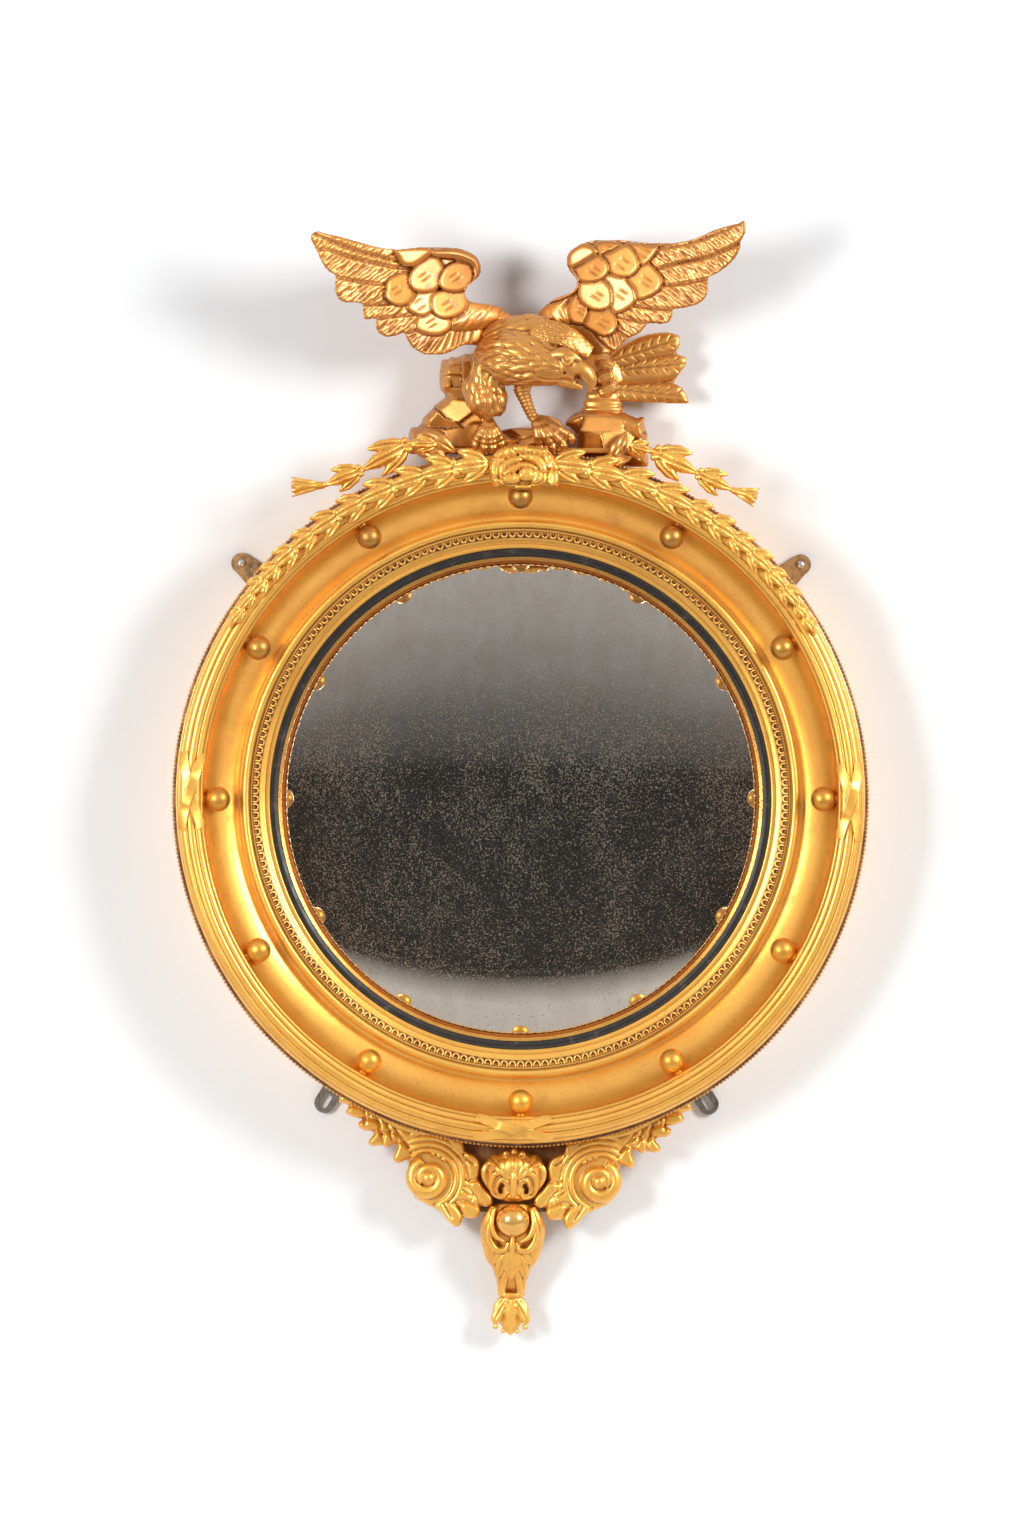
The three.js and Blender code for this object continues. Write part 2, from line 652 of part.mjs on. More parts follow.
function leftRock() {
  const foot = BASE_SIZE.top + FIT;
  return rock([
    [foot, [[-111, 18], [-90, CREST_BACK], [-48, CREST_BACK], [-45, 54], [-60, ROCK_FRONT], [-108, ROCK_FRONT]]],
    [foot + 20, [[-111, 22], [-88, CREST_BACK], [-46, CREST_BACK], [-44, 56], [-62, ROCK_FRONT], [-106, 54]]],
    [foot + 36, [[-96, 22], [-78, 15], [-47, 14], [-46, 50], [-70, 56], [-92, 46]]],
    [foot + 58, [[-80, 20], [-66, 16], [-50, 18], [-46, 42], [-62, 50], [-78, 42]]],
    [foot + 76, [[-80, 18], [-68, 14], [-50, 15], [-44, 30], [-60, 34], [-77, 32]]],
    [foot + LEFT_ROCK_RISE, [[-78, 18], [-66, 15], [-52, 16], [-46, 30], [-60, 34], [-76, 30]]],
  ]);
}

function rightRock() {
  const foot = BASE_SIZE.top + FIT;
  const body = rock([
    [foot, [[50, 20], [84, CREST_BACK], [126, 16], [128, 54], [114, 66], [56, 57]]],
    [foot + 14, [[46, 22], [80, CREST_BACK], [128, 15], [129, 50], [112, 64], [54, 56]]],
    [foot + 26, [[54, 22], [82, 14], [120, 18], [124, 44], [96, 60], [60, 54]]],
    [foot + RIGHT_ROCK_RISE, [[64, 24], [84, 16], [104, 20], [112, 38], [90, 50], [66, 48]]],
  ]);
  const front = rock([
    [foot - 18, [[64, 51], [92, 51], [118, 51], [124, 56], [96, 66], [66, 62]]],
    [foot + 4, [[54, 51], [90, 50], [124, 50], [127, 56], [98, 68], [58, 60]]],
  ]);
  return largest(cut(fuse(body, front), ringClearance));
}

/** Body and neck; grow makes the room round them. */
function eagleTorso(grow) {
  const grown = (radii) => radii.map((radius) => radius + grow);
  const breast = limb([overRing(-43, 76, 60), overRing(32, 111, 77)], grown([12, 28, 35, 33, 24]), { sides: 9, squash: 0.95 });
  const neck = limb(
    [overRing(0, 106, 78), overRing(44, 91, 92), overRing(62, 72, 96)],
    grown([31, 25, 19, 13, 6]),
    { sides: 9, squash: 0.86 },
  );
  return cut(fuse(breast, neck), behind(WING_ROOT_FRONT + FIT - grow));
}

/** Breast feathers that break the body's outline. */
function plumage(grow) {
  const tracts = [
    [[-30, 126, 84], [-44, 96, 74]],
    [[-16, 128, 92], [-30, 94, 94]],
    [[2, 122, 98], [-12, 86, 96]],
    [[18, 118, 100], [6, 82, 96]],
    [[34, 108, 103], [26, 78, 98]],
  ];
  return tracts.map(([from, to]) => blade(
    [overRing(...from), overRing(...to)],
    { half: 9 + grow, thick: 5 + 2 * grow, form: FEATHER },
  ));
}

function eagleBody() {
  const head = ball(overRing(50, 93, 95), 16, 7, 5);
  const beak = limb([overRing(56, 90, 98), overRing(67, 78, 99), overRing(67, 63, 97)], [10, 8, 2.5], { steps: 3 });
  const shoulder = blade(
    [overRing(10, 128, 84), overRing(38, 126, 92), overRing(68, 104, 88)],
    { half: 13, thick: 6, steps: 3, section: CHANNELLED },
  );
  const back = behind(WING_ROOT_FRONT + FIT);
  return largest(cut(fuse(eagleTorso(0), head, beak, shoulder, plumage(0)), back));
}

const bodyRoom = fuse(eagleTorso(FIT), plumage(FIT));

function eagleLeg({ thigh, thighRadii, ankle, toes, spur }) {
  const upper = limb(thigh, thighRadii, { sides: 7, steps: 3, squash: 0.7 });
  const foot = toes.map((tip) => {
    const knuckle = new THREE.Vector3().lerpVectors(ankle, tip, 0.6);
    knuckle.y -= 5;
    return limb([ankle, knuckle, tip], [5.5, 6, 2], { sides: 5, steps: 2 });
  });
  const pad = ball(ankle, spur, 6, 4);
  const seats = [behind(FOOT_BACK), bodyRoom, ringClearance];
  return largest(cut(fuse(upper, foot, pad), ...seats));
}

const leftLeg = () => eagleLeg({
  thigh: [overRing(-40, 70, 66), overRing(-32, 50, 70), overRing(-31, 34, 69)],
  thighRadii: [21, 20, 17, 9],
  ankle: overRing(-31, 30, 67),
  toes: [overRing(-44, 5, 70), overRing(-32, 4, 74), overRing(-18, 6, 70)],
  spur: 10,
});

const rightLeg = () => eagleLeg({
  thigh: [overRing(4, 76, 66), overRing(8, 54, 67), overRing(20, 30, 68)],
  thighRadii: [9, 7, 6, 8],
  ankle: overRing(24, 25, 66),
  toes: [overRing(20, 4, 69), overRing(34, 5, 74), overRing(47, 8, 71), overRing(53, 21, 68)],
  spur: 9,
});

/**
 * A flat-backed wing: a board inside its outline, long feathers that break the board's edge, scales
 * towards the shoulder and a round arm along the top. All of it sweeps forward from the body.
 */
function wing(side, { board, feathers, scales, arm }) {
  const way = side === 'left' ? -1 : 1;
  const sweep = WING_SWEEP[side];
  const swept = ([x, z], proud = 0) =>
    overRing(x, z, WING_ROOT_FRONT + proud + sweep * (way * x - WING_ROOT));
  const shape = new THREE.Shape(board.map(([x, z]) => new THREE.Vector2(x, ringRadius + z)));
  const slab = plateGeometry(shape, WING_BACK, WING_ROOT_FRONT)
    .applyMatrix4(new THREE.Matrix4().makeShear(-sweep * way, 0, 0, 0, 0, 0))
    .translate(0, sweep * WING_ROOT, 0);
  const vanes = feathers.map(([from, to, half]) =>
    blade([swept(from, 3), swept(to, -2)], { half, thick: 6, form: FEATHER }));
  const coverts = scales.map(([x, z, radius]) => {
    const scale = new THREE.SphereGeometry(radius, 6, 3).scale(1, 0.5, 1);
    return solid(scale.translate(...swept([x, z]).toArray()));
  });
  const edge = limb(arm.map((place) => swept(place)), [6, 8, 6, 3], { sides: 5, steps: 4 });
  return largest(cut(fuse(solid(slab), vanes, coverts, edge), bodyRoom));
}

const leftWing = () => wing('left', {
  board: [
    [-10, 140], [-38, 150], [-56, 164], [-42, 188], [-68, 204], [-126, 205], [-196, 216], [-186, 196],
    [-174, 166], [-150, 144], [-132, 126], [-96, 106], [-62, 109], [-10, 112],
  ],
  feathers: [
    [[-118, 197], [-209, 220], 10],
    [[-120, 188], [-205, 201], 9],
    [[-116, 176], [-196, 183], 10],
    [[-114, 163], [-186, 161], 10],
    [[-104, 146], [-159, 137], 10],
    [[-90, 132], [-142, 121], 10],
    [[-80, 124], [-106, 103], 11],
  ],
  scales: [[-60, 182, 17], [-90, 182, 15], [-86, 151, 18]],
  arm: [[-40, 182], [-68, 197], [-120, 202], [-190, 216]],
});

const rightWing = () => wing('right', {
  board: [
    [-3, 112], [-3, 132], [20, 140], [54, 164], [48, 196], [62, 210], [80, 214], [143, 212], [208, 228],
    [214, 208], [182, 176], [160, 148], [130, 132], [106, 116], [60, 108],
  ],
  feathers: [
    [[134, 199], [225, 232], 9],
    [[138, 186], [221, 212], 10],
    [[134, 173], [204, 194], 10],
    [[119, 160], [190, 175], 10],
    [[103, 146], [176, 154], 10],
    [[97, 134], [152, 135], 10],
    [[86, 126], [124, 118], 10],
  ],
  scales: [[68, 188, 18], [100, 194, 16], [78, 158, 18]],
  arm: [[52, 186], [64, 202], [140, 205], [205, 226]],
});

function eagleTail() {
  const middle = (CREST_BACK + TAIL_FRONT) / 2 + 3;
  const feather = ([from, to]) => blade(
    [overRing(...from, middle), overRing(...to, middle)],
    { half: 15, thick: 8, form: FEATHER, steps: 3, section: CHANNELLED },
  );
  const feathers = [[[80, 88], [162, 114]], [[82, 78], [166, 93]], [[80, 68], [166, 56]]].map(feather);
  const root = limb([overRing(60, 104, middle), overRing(76, 80, middle), overRing(82, 45, middle)], [15, 20, 15], { squash: 0.5 });
  const rockTop = ringRadius + BASE_SIZE.top + FIT + RIGHT_ROCK_RISE;
  const seat = block([0, 0, 0], [far, rockTop + FIT, far]);
  return largest(cut(fuse(root, feathers), seat));
}

// ---- Garlands ---------------------------------------------------------------------------------
const rosetteRoom = () => {
  const shape = new THREE.Shape();
  const { x, z, halfWidth, halfHeight } = ROSETTE;
  shape.absellipse(x, ringRadius + z, halfWidth + FIT, halfHeight + FIT, 0, 2 * Math.PI);
  return plate(shape, 0, far, 0, 10);
};

function rosette() {
  const { x, z, halfWidth, halfHeight, rise } = ROSETTE;
  const front = TORUS_DEPTH + rise;
  const flat = halfHeight / halfWidth;
  const petals = (count, inner, outer, half, depth, turn) => Array.from({ length: count }, (_, i) => {
    const a = (2 * Math.PI * (i + turn)) / count;
    const place = (reach, depthThere) =>
      overRing(x + reach * Math.cos(a), z + reach * flat * Math.sin(a), depthThere);
    return blade([place(inner, depth + 3), place((inner + outer) / 2, depth + 4), place(outer, depth)],
      { half, thick: 5, form: LOBE });
  });
  const bed = new THREE.SphereGeometry(halfWidth * 0.86, 10, 4).scale(1, 0.45, flat);
  return largest(cut(
    fuse(
      solid(bed.translate(...overRing(x, z, TORUS_DEPTH).toArray())),
      petals(8, 10, halfWidth - 2, 9.5, front - 13, 0),
      petals(6, 4, halfWidth * 0.6, 7.5, front - 6, 0.5),
      ball(overRing(x, z, front - 5), 6, 5, 3),
    ),
    behind(TORUS_DEPTH + FIT),
  ));
}

const rosetteClearance = rosetteRoom();

/** A string of husks over the ring's shoulder, each smaller than the one before. */
function swag(side) {
  const way = side === 'left' ? -1 : 1;
  const stops = [way * SWAG_START, ...SWAG_KNOTS[side]];
  const husks = stops.slice(1).map((stop, i) => {
    const half = 9 - i;
    const from = at(...polar(torusMiddle + SWAG_OFFSET, stops[i]), TORUS_DEPTH + SWAG_RISE);
    const to = at(...polar(torusMiddle + SWAG_OFFSET + 1, stop + way * 1.2), TORUS_DEPTH + SWAG_RISE - 1);
    return husk(from, to, half, i < 3 ? half * 1.1 : 0);
  });
  return largest(cut(fuse(husks), behind(TORUS_DEPTH + FIT), rosetteClearance));
}

/** A spray: a stem that starts on the rock, with a husk at each of its bends and a bell flower. */
function spray({ bends, tip }) {
  const [root, first, second, third] = bends.map((place) => overRing(...place));
  return largest(fuse(
    limb([root, first, second, third], [STEM_RADIUS, STEM_RADIUS, 2.6, 2], { sides: 5, steps: 3 }),
    husk(first, second, 9, 12),
    husk(second, third, 6.5, 9),
    husk(third, overRing(...tip), 5, 8),
  ));
}

const leftSpray = () => spray({
  bends: [[-84, 10.5, ROCK_FRONT - FIT + STEM_RADIUS], [-108, 12, 64], [-159, -15, 74], [-197, -30, 80]],
  tip: [-231, -32, 82],
});

const rightSpray = () => spray({
  bends: [[110, 10.5, 69.4], [134, 3, 70], [177, -18, 78], [213, -35, 82]],
  tip: [237, -43, 84],
});

// ---- Apron ------------------------------------------------------------------------------------
/** A point of the apron from its place on the apron's own, tilted axis. */
function apronPoint(u, z, depth, way = 1) {
  const turn = rad(APRON_TILT);
  const drop = z - BOSS.z;
  return underRing(
    APRON_SHIFT + way * u * Math.cos(turn) + drop * Math.sin(turn),
    BOSS.z + drop * Math.cos(turn) - way * u * Math.sin(turn),
    depth,
  );
}

function cleat() {
  const body = block(
    [APRON_SHIFT - CLEAT_HALF_WIDTH, CLEAT_BOTTOM - ringRadius, CLEAT_BACK],
    [APRON_SHIFT + CLEAT_HALF_WIDTH, CLEAT_LAP - ringRadius, CLEAT_FRONT],
  );
  return largest(cut(body, ringClearance));
}

const apronBack = CLEAT_FRONT + FIT;

/** One side of the apron: a volute, the leaf that runs up beside the ring and the leaf below. */
function apronScroll(way) {
  const outline = [
    [168, 48], [150, 18], [138, 0], [116, -10], [104, -40], [94, -58], [66, -76], [40, -70], [31, -60], [29, -52],
    [32, -34], [31, -16], [41, -10], [46, 14], [158, 54],
  ];
  const corners = outline.map(([u, z]) => {
    const p = apronPoint(u, z, 0, way);
    return new THREE.Vector2(p.x, p.z);
  });
  const board = plate(new THREE.Shape(way < 0 ? corners.reverse() : corners), apronBack, APRON_BOARD_FRONT);
  const leaf = (from, to, half, rise = 4) => blade(
    [apronPoint(...from, APRON_BOARD_FRONT + rise, way), apronPoint(...to, APRON_BOARD_FRONT, way)],
    { half, thick: 6, form: LOBE },
  );
  const leaves = [
    leaf([146, 16], [176, 43], 8),
    leaf([126, 12], [158, 14], 11),
    leaf([108, 0], [147, -6], 11),
    leaf([98, -8], [122, -22], 9),
    leaf([78, -58], [62, -87], 9, 8),
    leaf([58, -54], [42, -80], 8, 8),
    leaf([46, -48], [27, -66], 7, 8),
    leaf([58, -24], [34, -24], 10, 6),
  ];
  const coil = Array.from({ length: 11 }, (_, i) => {
    const t = i / 10;
    const a = Math.PI * (0.35 + 2 * VOLUTE.turns * t);
    const reach = lerp(VOLUTE.radius - 5, VOLUTE.eye, t);
    const [u, z] = [VOLUTE.u - reach * Math.cos(a), VOLUTE.z + reach * Math.sin(a)];
    return apronPoint(u, z, lerp(42, 48, t), way);
  });
  const spiral = limb(coil, [6, 6, 5, 3.5], { sides: 5, steps: 11 });
  const eye = ball(apronPoint(VOLUTE.u, VOLUTE.z, 48, way), VOLUTE.eye, 7, 4);
  const core = ball(apronPoint(VOLUTE.u, VOLUTE.z, 34, way), VOLUTE.radius - 4, 8, 4);
  const neighbour = apronAxisRoom();
  return largest(cut(fuse(board, leaves, spiral, eye, core), behind(apronBack), ringClearance, neighbour));
}

const bossOutline = (grow) => Array.from({ length: 16 }, (_, i) => {
  const a = (2 * Math.PI * i) / 16;
  return [(BOSS.halfWidth + grow) * Math.cos(a), BOSS.z + (BOSS.halfHeight + grow) * Math.sin(a)];
});

/** Half-widths and fronts of the pendant at its heights. */
const pendantWidths = [
  [PENDANT_TOP, 21, 44], [-70, 26, 48], [-91, 29, 46], [-107, 26.5, 44], [-123, 21.5, 40], [-139, 15.5, 36],
  [-155, 12.5, 34], [-169, 14, 34], [-179, 17.5, 33], [-187, 9, 31], [-195, 2, 30],
];

/** The boss's outline and the pendant's, one gap larger, as prisms. */
function apronAxisRoom() {
  const prism = (points) => {
    const corners = points.map(([u, z]) => {
      const p = apronPoint(u, z, 0);
      return new THREE.Vector2(p.x, p.z);
    });
    return plate(new THREE.Shape(corners), 0, far);
  };
  const sides = pendantWidths.map(([z, w]) => [w + FIT, z + (z === PENDANT_TOP ? FIT : 0)]);
  return fuse(prism(bossOutline(FIT)), prism([...sides, ...sides.map(([u, z]) => [-u, z]).reverse()].reverse()));
}

function apronBoss() {
  const ring = (share, depth) => bossOutline(0).map(([u, z]) =>
    apronPoint(u * share, BOSS.z + (z - BOSS.z) * share, depth));
  const levels = [[1, 0], [1, 0.44], [0.86, 0.78], [0.55, 0.94], [0.15, 1]];
  const dome = loft(levels.map(([share, height]) => ring(share, apronBack + BOSS.rise * height)));
  const leaf = (from, to, half) => blade(
    [apronPoint(...from, 54), apronPoint(...to, 50)],
    { half, thick: 6, form: LOBE },
  );
  const leaves = [[0, 22], [-12, 18], [12, 18], [-19, 6], [19, 6], [-13, -10], [13, -10]].map(([u, rise]) =>
    leaf([u * 0.3, BOSS.z - 4], [u, BOSS.z + rise], 6));
  const floor = block([-far, -far, 0], [far, PENDANT_TOP + FIT - ringRadius, far]);
  return largest(cut(fuse(dome, leaves), behind(apronBack), ringClearance, floor));
}

/** The drop below the boss, which leans back to the wall: an open curl of leaves under a ball. */
function pendantDrop() {
  const hang = (u, z, depth) => apronPoint(u, z, depth - PENDANT_LEAN * Math.max(0, CLEAT_BOTTOM - z));
  const rings = pendantWidths.map(([z, w, depth]) => {
    const rise = depth - apronBack;
    const arc = Array.from({ length: 6 }, (_, i) => (Math.PI * i) / 5);
    return arc.map((a) => hang(w * Math.cos(a), z, apronBack + rise * Math.sin(a)));
  });
  const globe = ball(hang(0, PENDANT_BALL.z, PENDANT_BALL.depth), PENDANT_BALL.radius, 9, 6);
  const leaf = (from, to, half) => blade([hang(...from), hang(...to)], { half, thick: 5 });
  const pair = (from, to, half) => [1, -1].map((way) => {
    const mirrored = ([u, z, depth]) => [way * u, z, depth];
    return leaf(mirrored(from), mirrored(to), half);
  });
  const leaves = [
    leaf([0, -92, 46], [0, -134, 40], 7),
    pair([16, -86, 42], [18, -118, 34], 7),
    pair([5, -136, 36], [9, -161, 33], 5),
    leaf([0, -152, 36], [0, -192, 32], 6),
    pair([4, -156, 34], [14, -179, 31], 4.5),
  ];
  const roof = block([-far, PENDANT_TOP - ringRadius, 0], [far, 0, far]);
  return largest(cut(fuse(loft(rings), globe, leaves), roof));
}

// ---- Assembly ---------------------------------------------------------------------------------
const group = new THREE.Group();
group.name = 'girandole_mirror';

function add(name, body, base) {
  const mesh = new THREE.Mesh(geometryOf(body), base.clone());
  mesh.name = name;
  group.add(mesh);
}

add('main_frame', mainFrame(), gilding);
add('bead_edge', beadEdge(), gilding);
add('sight_ornament', sightOrnament(), gilding);
add('ebonised_slip', ebonisedSlip(), ebonised);
add('mirror_glass', mirrorGlass(), silvering);
add('retaining_hoop', retainingHoop(), pine);
for (let i = 0; i < PLANK_COUNT; i++) add(`backboard_${i + 1}`, plank(i), pine);
boardScrewPlaces().forEach(([x, z], i) => add(`board_screw_${i + 1}`, screw(x, z, BOARD_SCREW_LENGTH), screwSteel));
for (let i = 0; i < BALL_COUNT; i++) add(`ball_${String(i + 1).padStart(2, '0')}`, mouldingBall(i), gilding);
for (const [name, angle] of Object.entries(TIE_ANGLES)) add(name, ribbonTie(angle), gilding);
for (const side of ['left', 'right']) {
  add(`ear_${side}`, ear(side), agedGilding);
  add(`wall_screw_${side}`, wallScrew(side), screwSteel);
  add(`slotted_plate_${side}`, slottedPlate(side), iron);
}
for (const [name, angle] of Object.entries(hangerAngles)) {
  add(`${name}_screw`, screw(...earLapPlace(angle), PLATE_SCREW_LENGTH), screwSteel);
}
add('crest_base', crestBase(), agedGilding);
add('rock_left', leftRock(), agedGilding);
add('rock_right', rightRock(), agedGilding);
add('eagle_body', eagleBody(), agedGilding);
add('eagle_wing_left', leftWing(), agedGilding);
add('eagle_wing_right', rightWing(), agedGilding);
add('eagle_tail', eagleTail(), agedGilding);
add('eagle_leg_left', leftLeg(), agedGilding);
add('eagle_leg_right', rightLeg(), agedGilding);
add('rosette', rosette(), agedGilding);
add('swag_left', swag('left'), agedGilding);
add('swag_right', swag('right'), agedGilding);
add('spray_left', leftSpray(), agedGilding);
add('spray_right', rightSpray(), agedGilding);
add('apron_cleat', cleat(), pine);
add('apron_scroll_left', apronScroll(-1), gilding);
add('apron_scroll_right', apronScroll(1), gilding);
add('apron_boss', apronBoss(), gilding);
add('apron_pendant', pendantDrop(), gilding);

export default group;
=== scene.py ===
"""Looks of the girandole mirror: carved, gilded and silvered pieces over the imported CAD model.

Sizes are in millimetres until a mesh is made. A point is (x across, z up, depth from the wall), and
the ring's axis runs through x = 0, z = 0.
"""
import math

import bmesh
import bpy
import numpy as np
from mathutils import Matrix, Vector
from mathutils.geometry import tessellate_polygon

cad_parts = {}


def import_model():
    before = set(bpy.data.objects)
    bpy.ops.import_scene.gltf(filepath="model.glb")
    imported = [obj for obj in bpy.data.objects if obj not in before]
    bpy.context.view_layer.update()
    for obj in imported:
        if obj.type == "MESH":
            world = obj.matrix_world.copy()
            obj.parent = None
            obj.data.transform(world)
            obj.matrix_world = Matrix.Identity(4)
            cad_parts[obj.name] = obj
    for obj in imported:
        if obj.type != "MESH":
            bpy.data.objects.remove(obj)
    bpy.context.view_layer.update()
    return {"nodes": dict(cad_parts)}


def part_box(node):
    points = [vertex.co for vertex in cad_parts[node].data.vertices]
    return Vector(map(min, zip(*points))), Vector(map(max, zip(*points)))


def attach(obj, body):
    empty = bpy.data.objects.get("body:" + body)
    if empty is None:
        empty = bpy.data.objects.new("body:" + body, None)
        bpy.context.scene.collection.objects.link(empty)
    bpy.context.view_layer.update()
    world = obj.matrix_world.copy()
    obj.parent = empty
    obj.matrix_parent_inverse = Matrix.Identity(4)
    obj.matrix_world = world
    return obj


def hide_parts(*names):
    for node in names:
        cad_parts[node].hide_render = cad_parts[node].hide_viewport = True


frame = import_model()

MM = 0.001
FRONT = np.array([0.0, -1.0, 0.0])
FIT = 0.3  # gap between pieces that seat on one another
rng = np.random.default_rng(7)


def node_box(name):
    """A CAD node's lowest and highest corners in millimetres."""
    return [np.array(corner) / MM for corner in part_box(name)]


# ---- Sizes taken from the frame -------------------------------------------------------------------
RING = node_box("main_frame")[1][0]  # outer wall of the ring
TORUS_DEPTH = -node_box("main_frame")[0][1]  # wall to the crest of the reeded moulding
BOARD = node_box("backboard_2")[1][2]
REBATE = node_box("ebonised_slip")[1][0] + FIT
GLASS = node_box("mirror_glass")[1][0]
GLASS_CREST = -node_box("mirror_glass")[0][1]
STRIP_OUT = node_box("sight_ornament")[1][0] + FIT

# ---- Sizes of the mouldings -----------------------------------------------------------------------
SIGHT = REBATE - 7.0  # inner edge of the lip
LIP_BACK = 27.5
LIP_FRONT = 37.0
STRIP_IN = SIGHT + 10.0
STRIP_BED = 47.0
STRIP_BED_RISE = 5.0
COVE = 35.0  # width of the hollow that holds the balls
COVE_FLOOR = -70.0  # directions at its two ends, in degrees
COVE_WALL = -30.0
COVE_IN = STRIP_OUT + 10.4
RIM_DEPTH = TORUS_DEPTH - 9.0
TORUS_HALF = 14.0
TORUS_MID = RING - TORUS_HALF
TORUS_HEIGHT = 12.5
TORUS_FOOT = TORUS_DEPTH - TORUS_HEIGHT
BOARD_THICK = 8.0
GLASS_RIM_DEPTH = 19.0
GLASS_THICK = 4.0


# ---- Repeated ornament and small pieces ------------------------------------------------------------
BEAD_COUNT = 520
BEAD_RADIUS = 2.05
BEAD_INSET = 2.1  # from the string's outer edge to the beads' middles
ARCH_COUNT = 204
SLIP_WIDTH = 7.5
BALL_COUNT = 12
BALL_RADIUS = 12.55
BALL_TURN = math.radians(15)  # how far down the hollow's wall each ball's peg points


# ---- Camera's place, in metres --------------------------------------------------------------------
IMAGE = (1024, 1536)
PIXEL = 0.001  # metres at the picture's plane
PICTURE_PLANE = 0.06  # depth at which a pixel is that size
VIEW_CENTRE = (-0.0085, 0.031)
CAMERA_DISTANCE = 14.0

# ---- Wings ----------------------------------------------------------------------------------------
WING_ROOT_DEPTH = 45.0
WING_ROOT = 10.0  # distance from the middle at which the sweep starts
WING_BACK = -8.4
WING_SWEEP = {"left": 0.52, "right": 0.38}  # forward for each millimetre outwards

# Levels of a wing's layers over its board
FAN_LEVEL = 0.6
FEATHER_LEVEL = 1.2
SKIN_LEVEL = 3.0
SCALE_LEVEL = 4.2
KNUCKLE_LEVEL = 7.4
ARM_LEVEL = 7.5


# ---- Mesh making ----------------------------------------------------------------------------------
def at(x, z, depth):
    return np.array([x, -depth, z], dtype=float)


def seen(x, z, depth):
    """The point at a depth that the camera sees at (x, z) on the picture's plane."""
    share = (CAMERA_DISTANCE / MM - depth) / ((CAMERA_DISTANCE - PICTURE_PLANE) / MM)
    x0, z0 = (value / MM for value in VIEW_CENTRE)
    return at(x0 + (x - x0) * share, z0 + (z - z0) * share, depth)


def new_mesh(name, points, quads, tris=()):
    """A mesh object from arrays of points in millimetres and of faces."""
    quads = np.asarray(quads, dtype=np.int32).reshape(-1, 4)
    tris = np.asarray(tris, dtype=np.int32).reshape(-1, 3)
    mesh = bpy.data.meshes.new(name)
    mesh.vertices.add(len(points))
    mesh.vertices.foreach_set("co", (np.asarray(points) * MM).astype(np.float32).ravel())
    mesh.loops.add(quads.size + tris.size)
    mesh.loops.foreach_set("vertex_index", np.concatenate([quads.ravel(), tris.ravel()]))
    mesh.polygons.add(len(quads) + len(tris))
    starts = np.concatenate([np.arange(len(quads)) * 4, quads.size + np.arange(len(tris)) * 3])
    mesh.polygons.foreach_set("loop_start", starts.astype(np.int32))
    mesh.update(calc_edges=True)
    mesh.validate()
    piece = bpy.data.objects.new(name, mesh)
    bpy.context.scene.collection.objects.link(piece)
    return piece


def shade_smooth(piece, angle=None):
    mesh = piece.data
    mesh.polygons.foreach_set("use_smooth", np.ones(len(mesh.polygons), dtype=bool))
    if angle is not None:
        mesh.set_sharp_from_angle(angle=math.radians(angle))


def dressed(piece, material, slot, *nodes):
    """Gives a piece its material and hides the CAD nodes that it stands for; slot is not used."""
    piece.data.materials.clear()
    piece.data.materials.append(material)
    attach(piece, "root")
    if nodes:
        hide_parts(*nodes)
    return piece


class Shell:
    """Closed surfaces that will be one piece."""

    def __init__(self):
        self.points, self.quads, self.tris, self.count = [], [], [], 0

    def add(self, points, quads, tris=()):
        points = np.asarray(points, dtype=float).reshape(-1, 3)
        self.points.append(points)
        self.quads.append(np.asarray(quads, dtype=np.int64).reshape(-1, 4) + self.count)
        self.tris.append(np.asarray(tris, dtype=np.int64).reshape(-1, 3) + self.count)
        self.count += len(points)

    def loft(self, rings):
        """Joins rings of points in order and closes both ends with a fan."""
        rings = np.asarray(rings)
        n, m = rings.shape[:2]
        i, j = np.meshgrid(np.arange(n - 1), np.arange(m), indexing="ij")
        after = (j + 1) % m
        quads = np.stack([i * m + j, i * m + after, (i + 1) * m + after, (i + 1) * m + j], -1)
        k = np.arange(m)
        low = np.stack([np.full(m, n * m), (k + 1) % m, k], -1)
        high = np.stack([np.full(m, n * m + 1), (n - 1) * m + k, (n - 1) * m + (k + 1) % m], -1)
        ends = [rings[0].mean(0), rings[-1].mean(0)]
        self.add(np.vstack([rings.reshape(-1, 3), ends]), quads, np.vstack([low, high]))

    def slab(self, outline, face, back):
        """A plate between two faces over an outline; face and back turn (x, z) into points."""
        outline = np.asarray(outline, dtype=float)
        n = len(outline)
        corners = [Vector((x, z, 0)) for x, z in outline]
        faces = np.array([list(tri) for tri in tessellate_polygon([corners])])
        points = np.vstack([[face(x, z) for x, z in outline], [back(x, z) for x, z in outline]])
        k = np.arange(n)
        sides = np.stack([k, (k + 1) % n, n + (k + 1) % n, n + k], -1)
        self.add(points, sides, np.vstack([faces, faces[:, ::-1] + n]))

    def piece(self, name):
        return new_mesh(name, np.vstack(self.points), np.vstack(self.quads), np.vstack(self.tris))


def spline(points, rows):
    """Places and directions along a smooth curve through the points."""
    p = np.array(points, dtype=float)
    p = np.vstack([2 * p[0] - p[1], p, 2 * p[-1] - p[-2]])
    u = np.linspace(0, len(points) - 1, rows + 1)
    i = np.minimum(u.astype(int), len(points) - 2)
    f = (u - i)[:, None]
    a, b, c, d = p[i], p[i + 1], p[i + 2], p[i + 3]
    place = 0.5 * (2 * b + (c - a) * f + (2 * a - 5 * b + 4 * c - d) * f**2 + (3 * b - a - 3 * c + d)
                   * f**3)
    along = unit(np.gradient(place, axis=0))
    return place, along


def unit(v):
    return v / np.maximum(np.linalg.norm(v, axis=-1, keepdims=True), 1e-9)


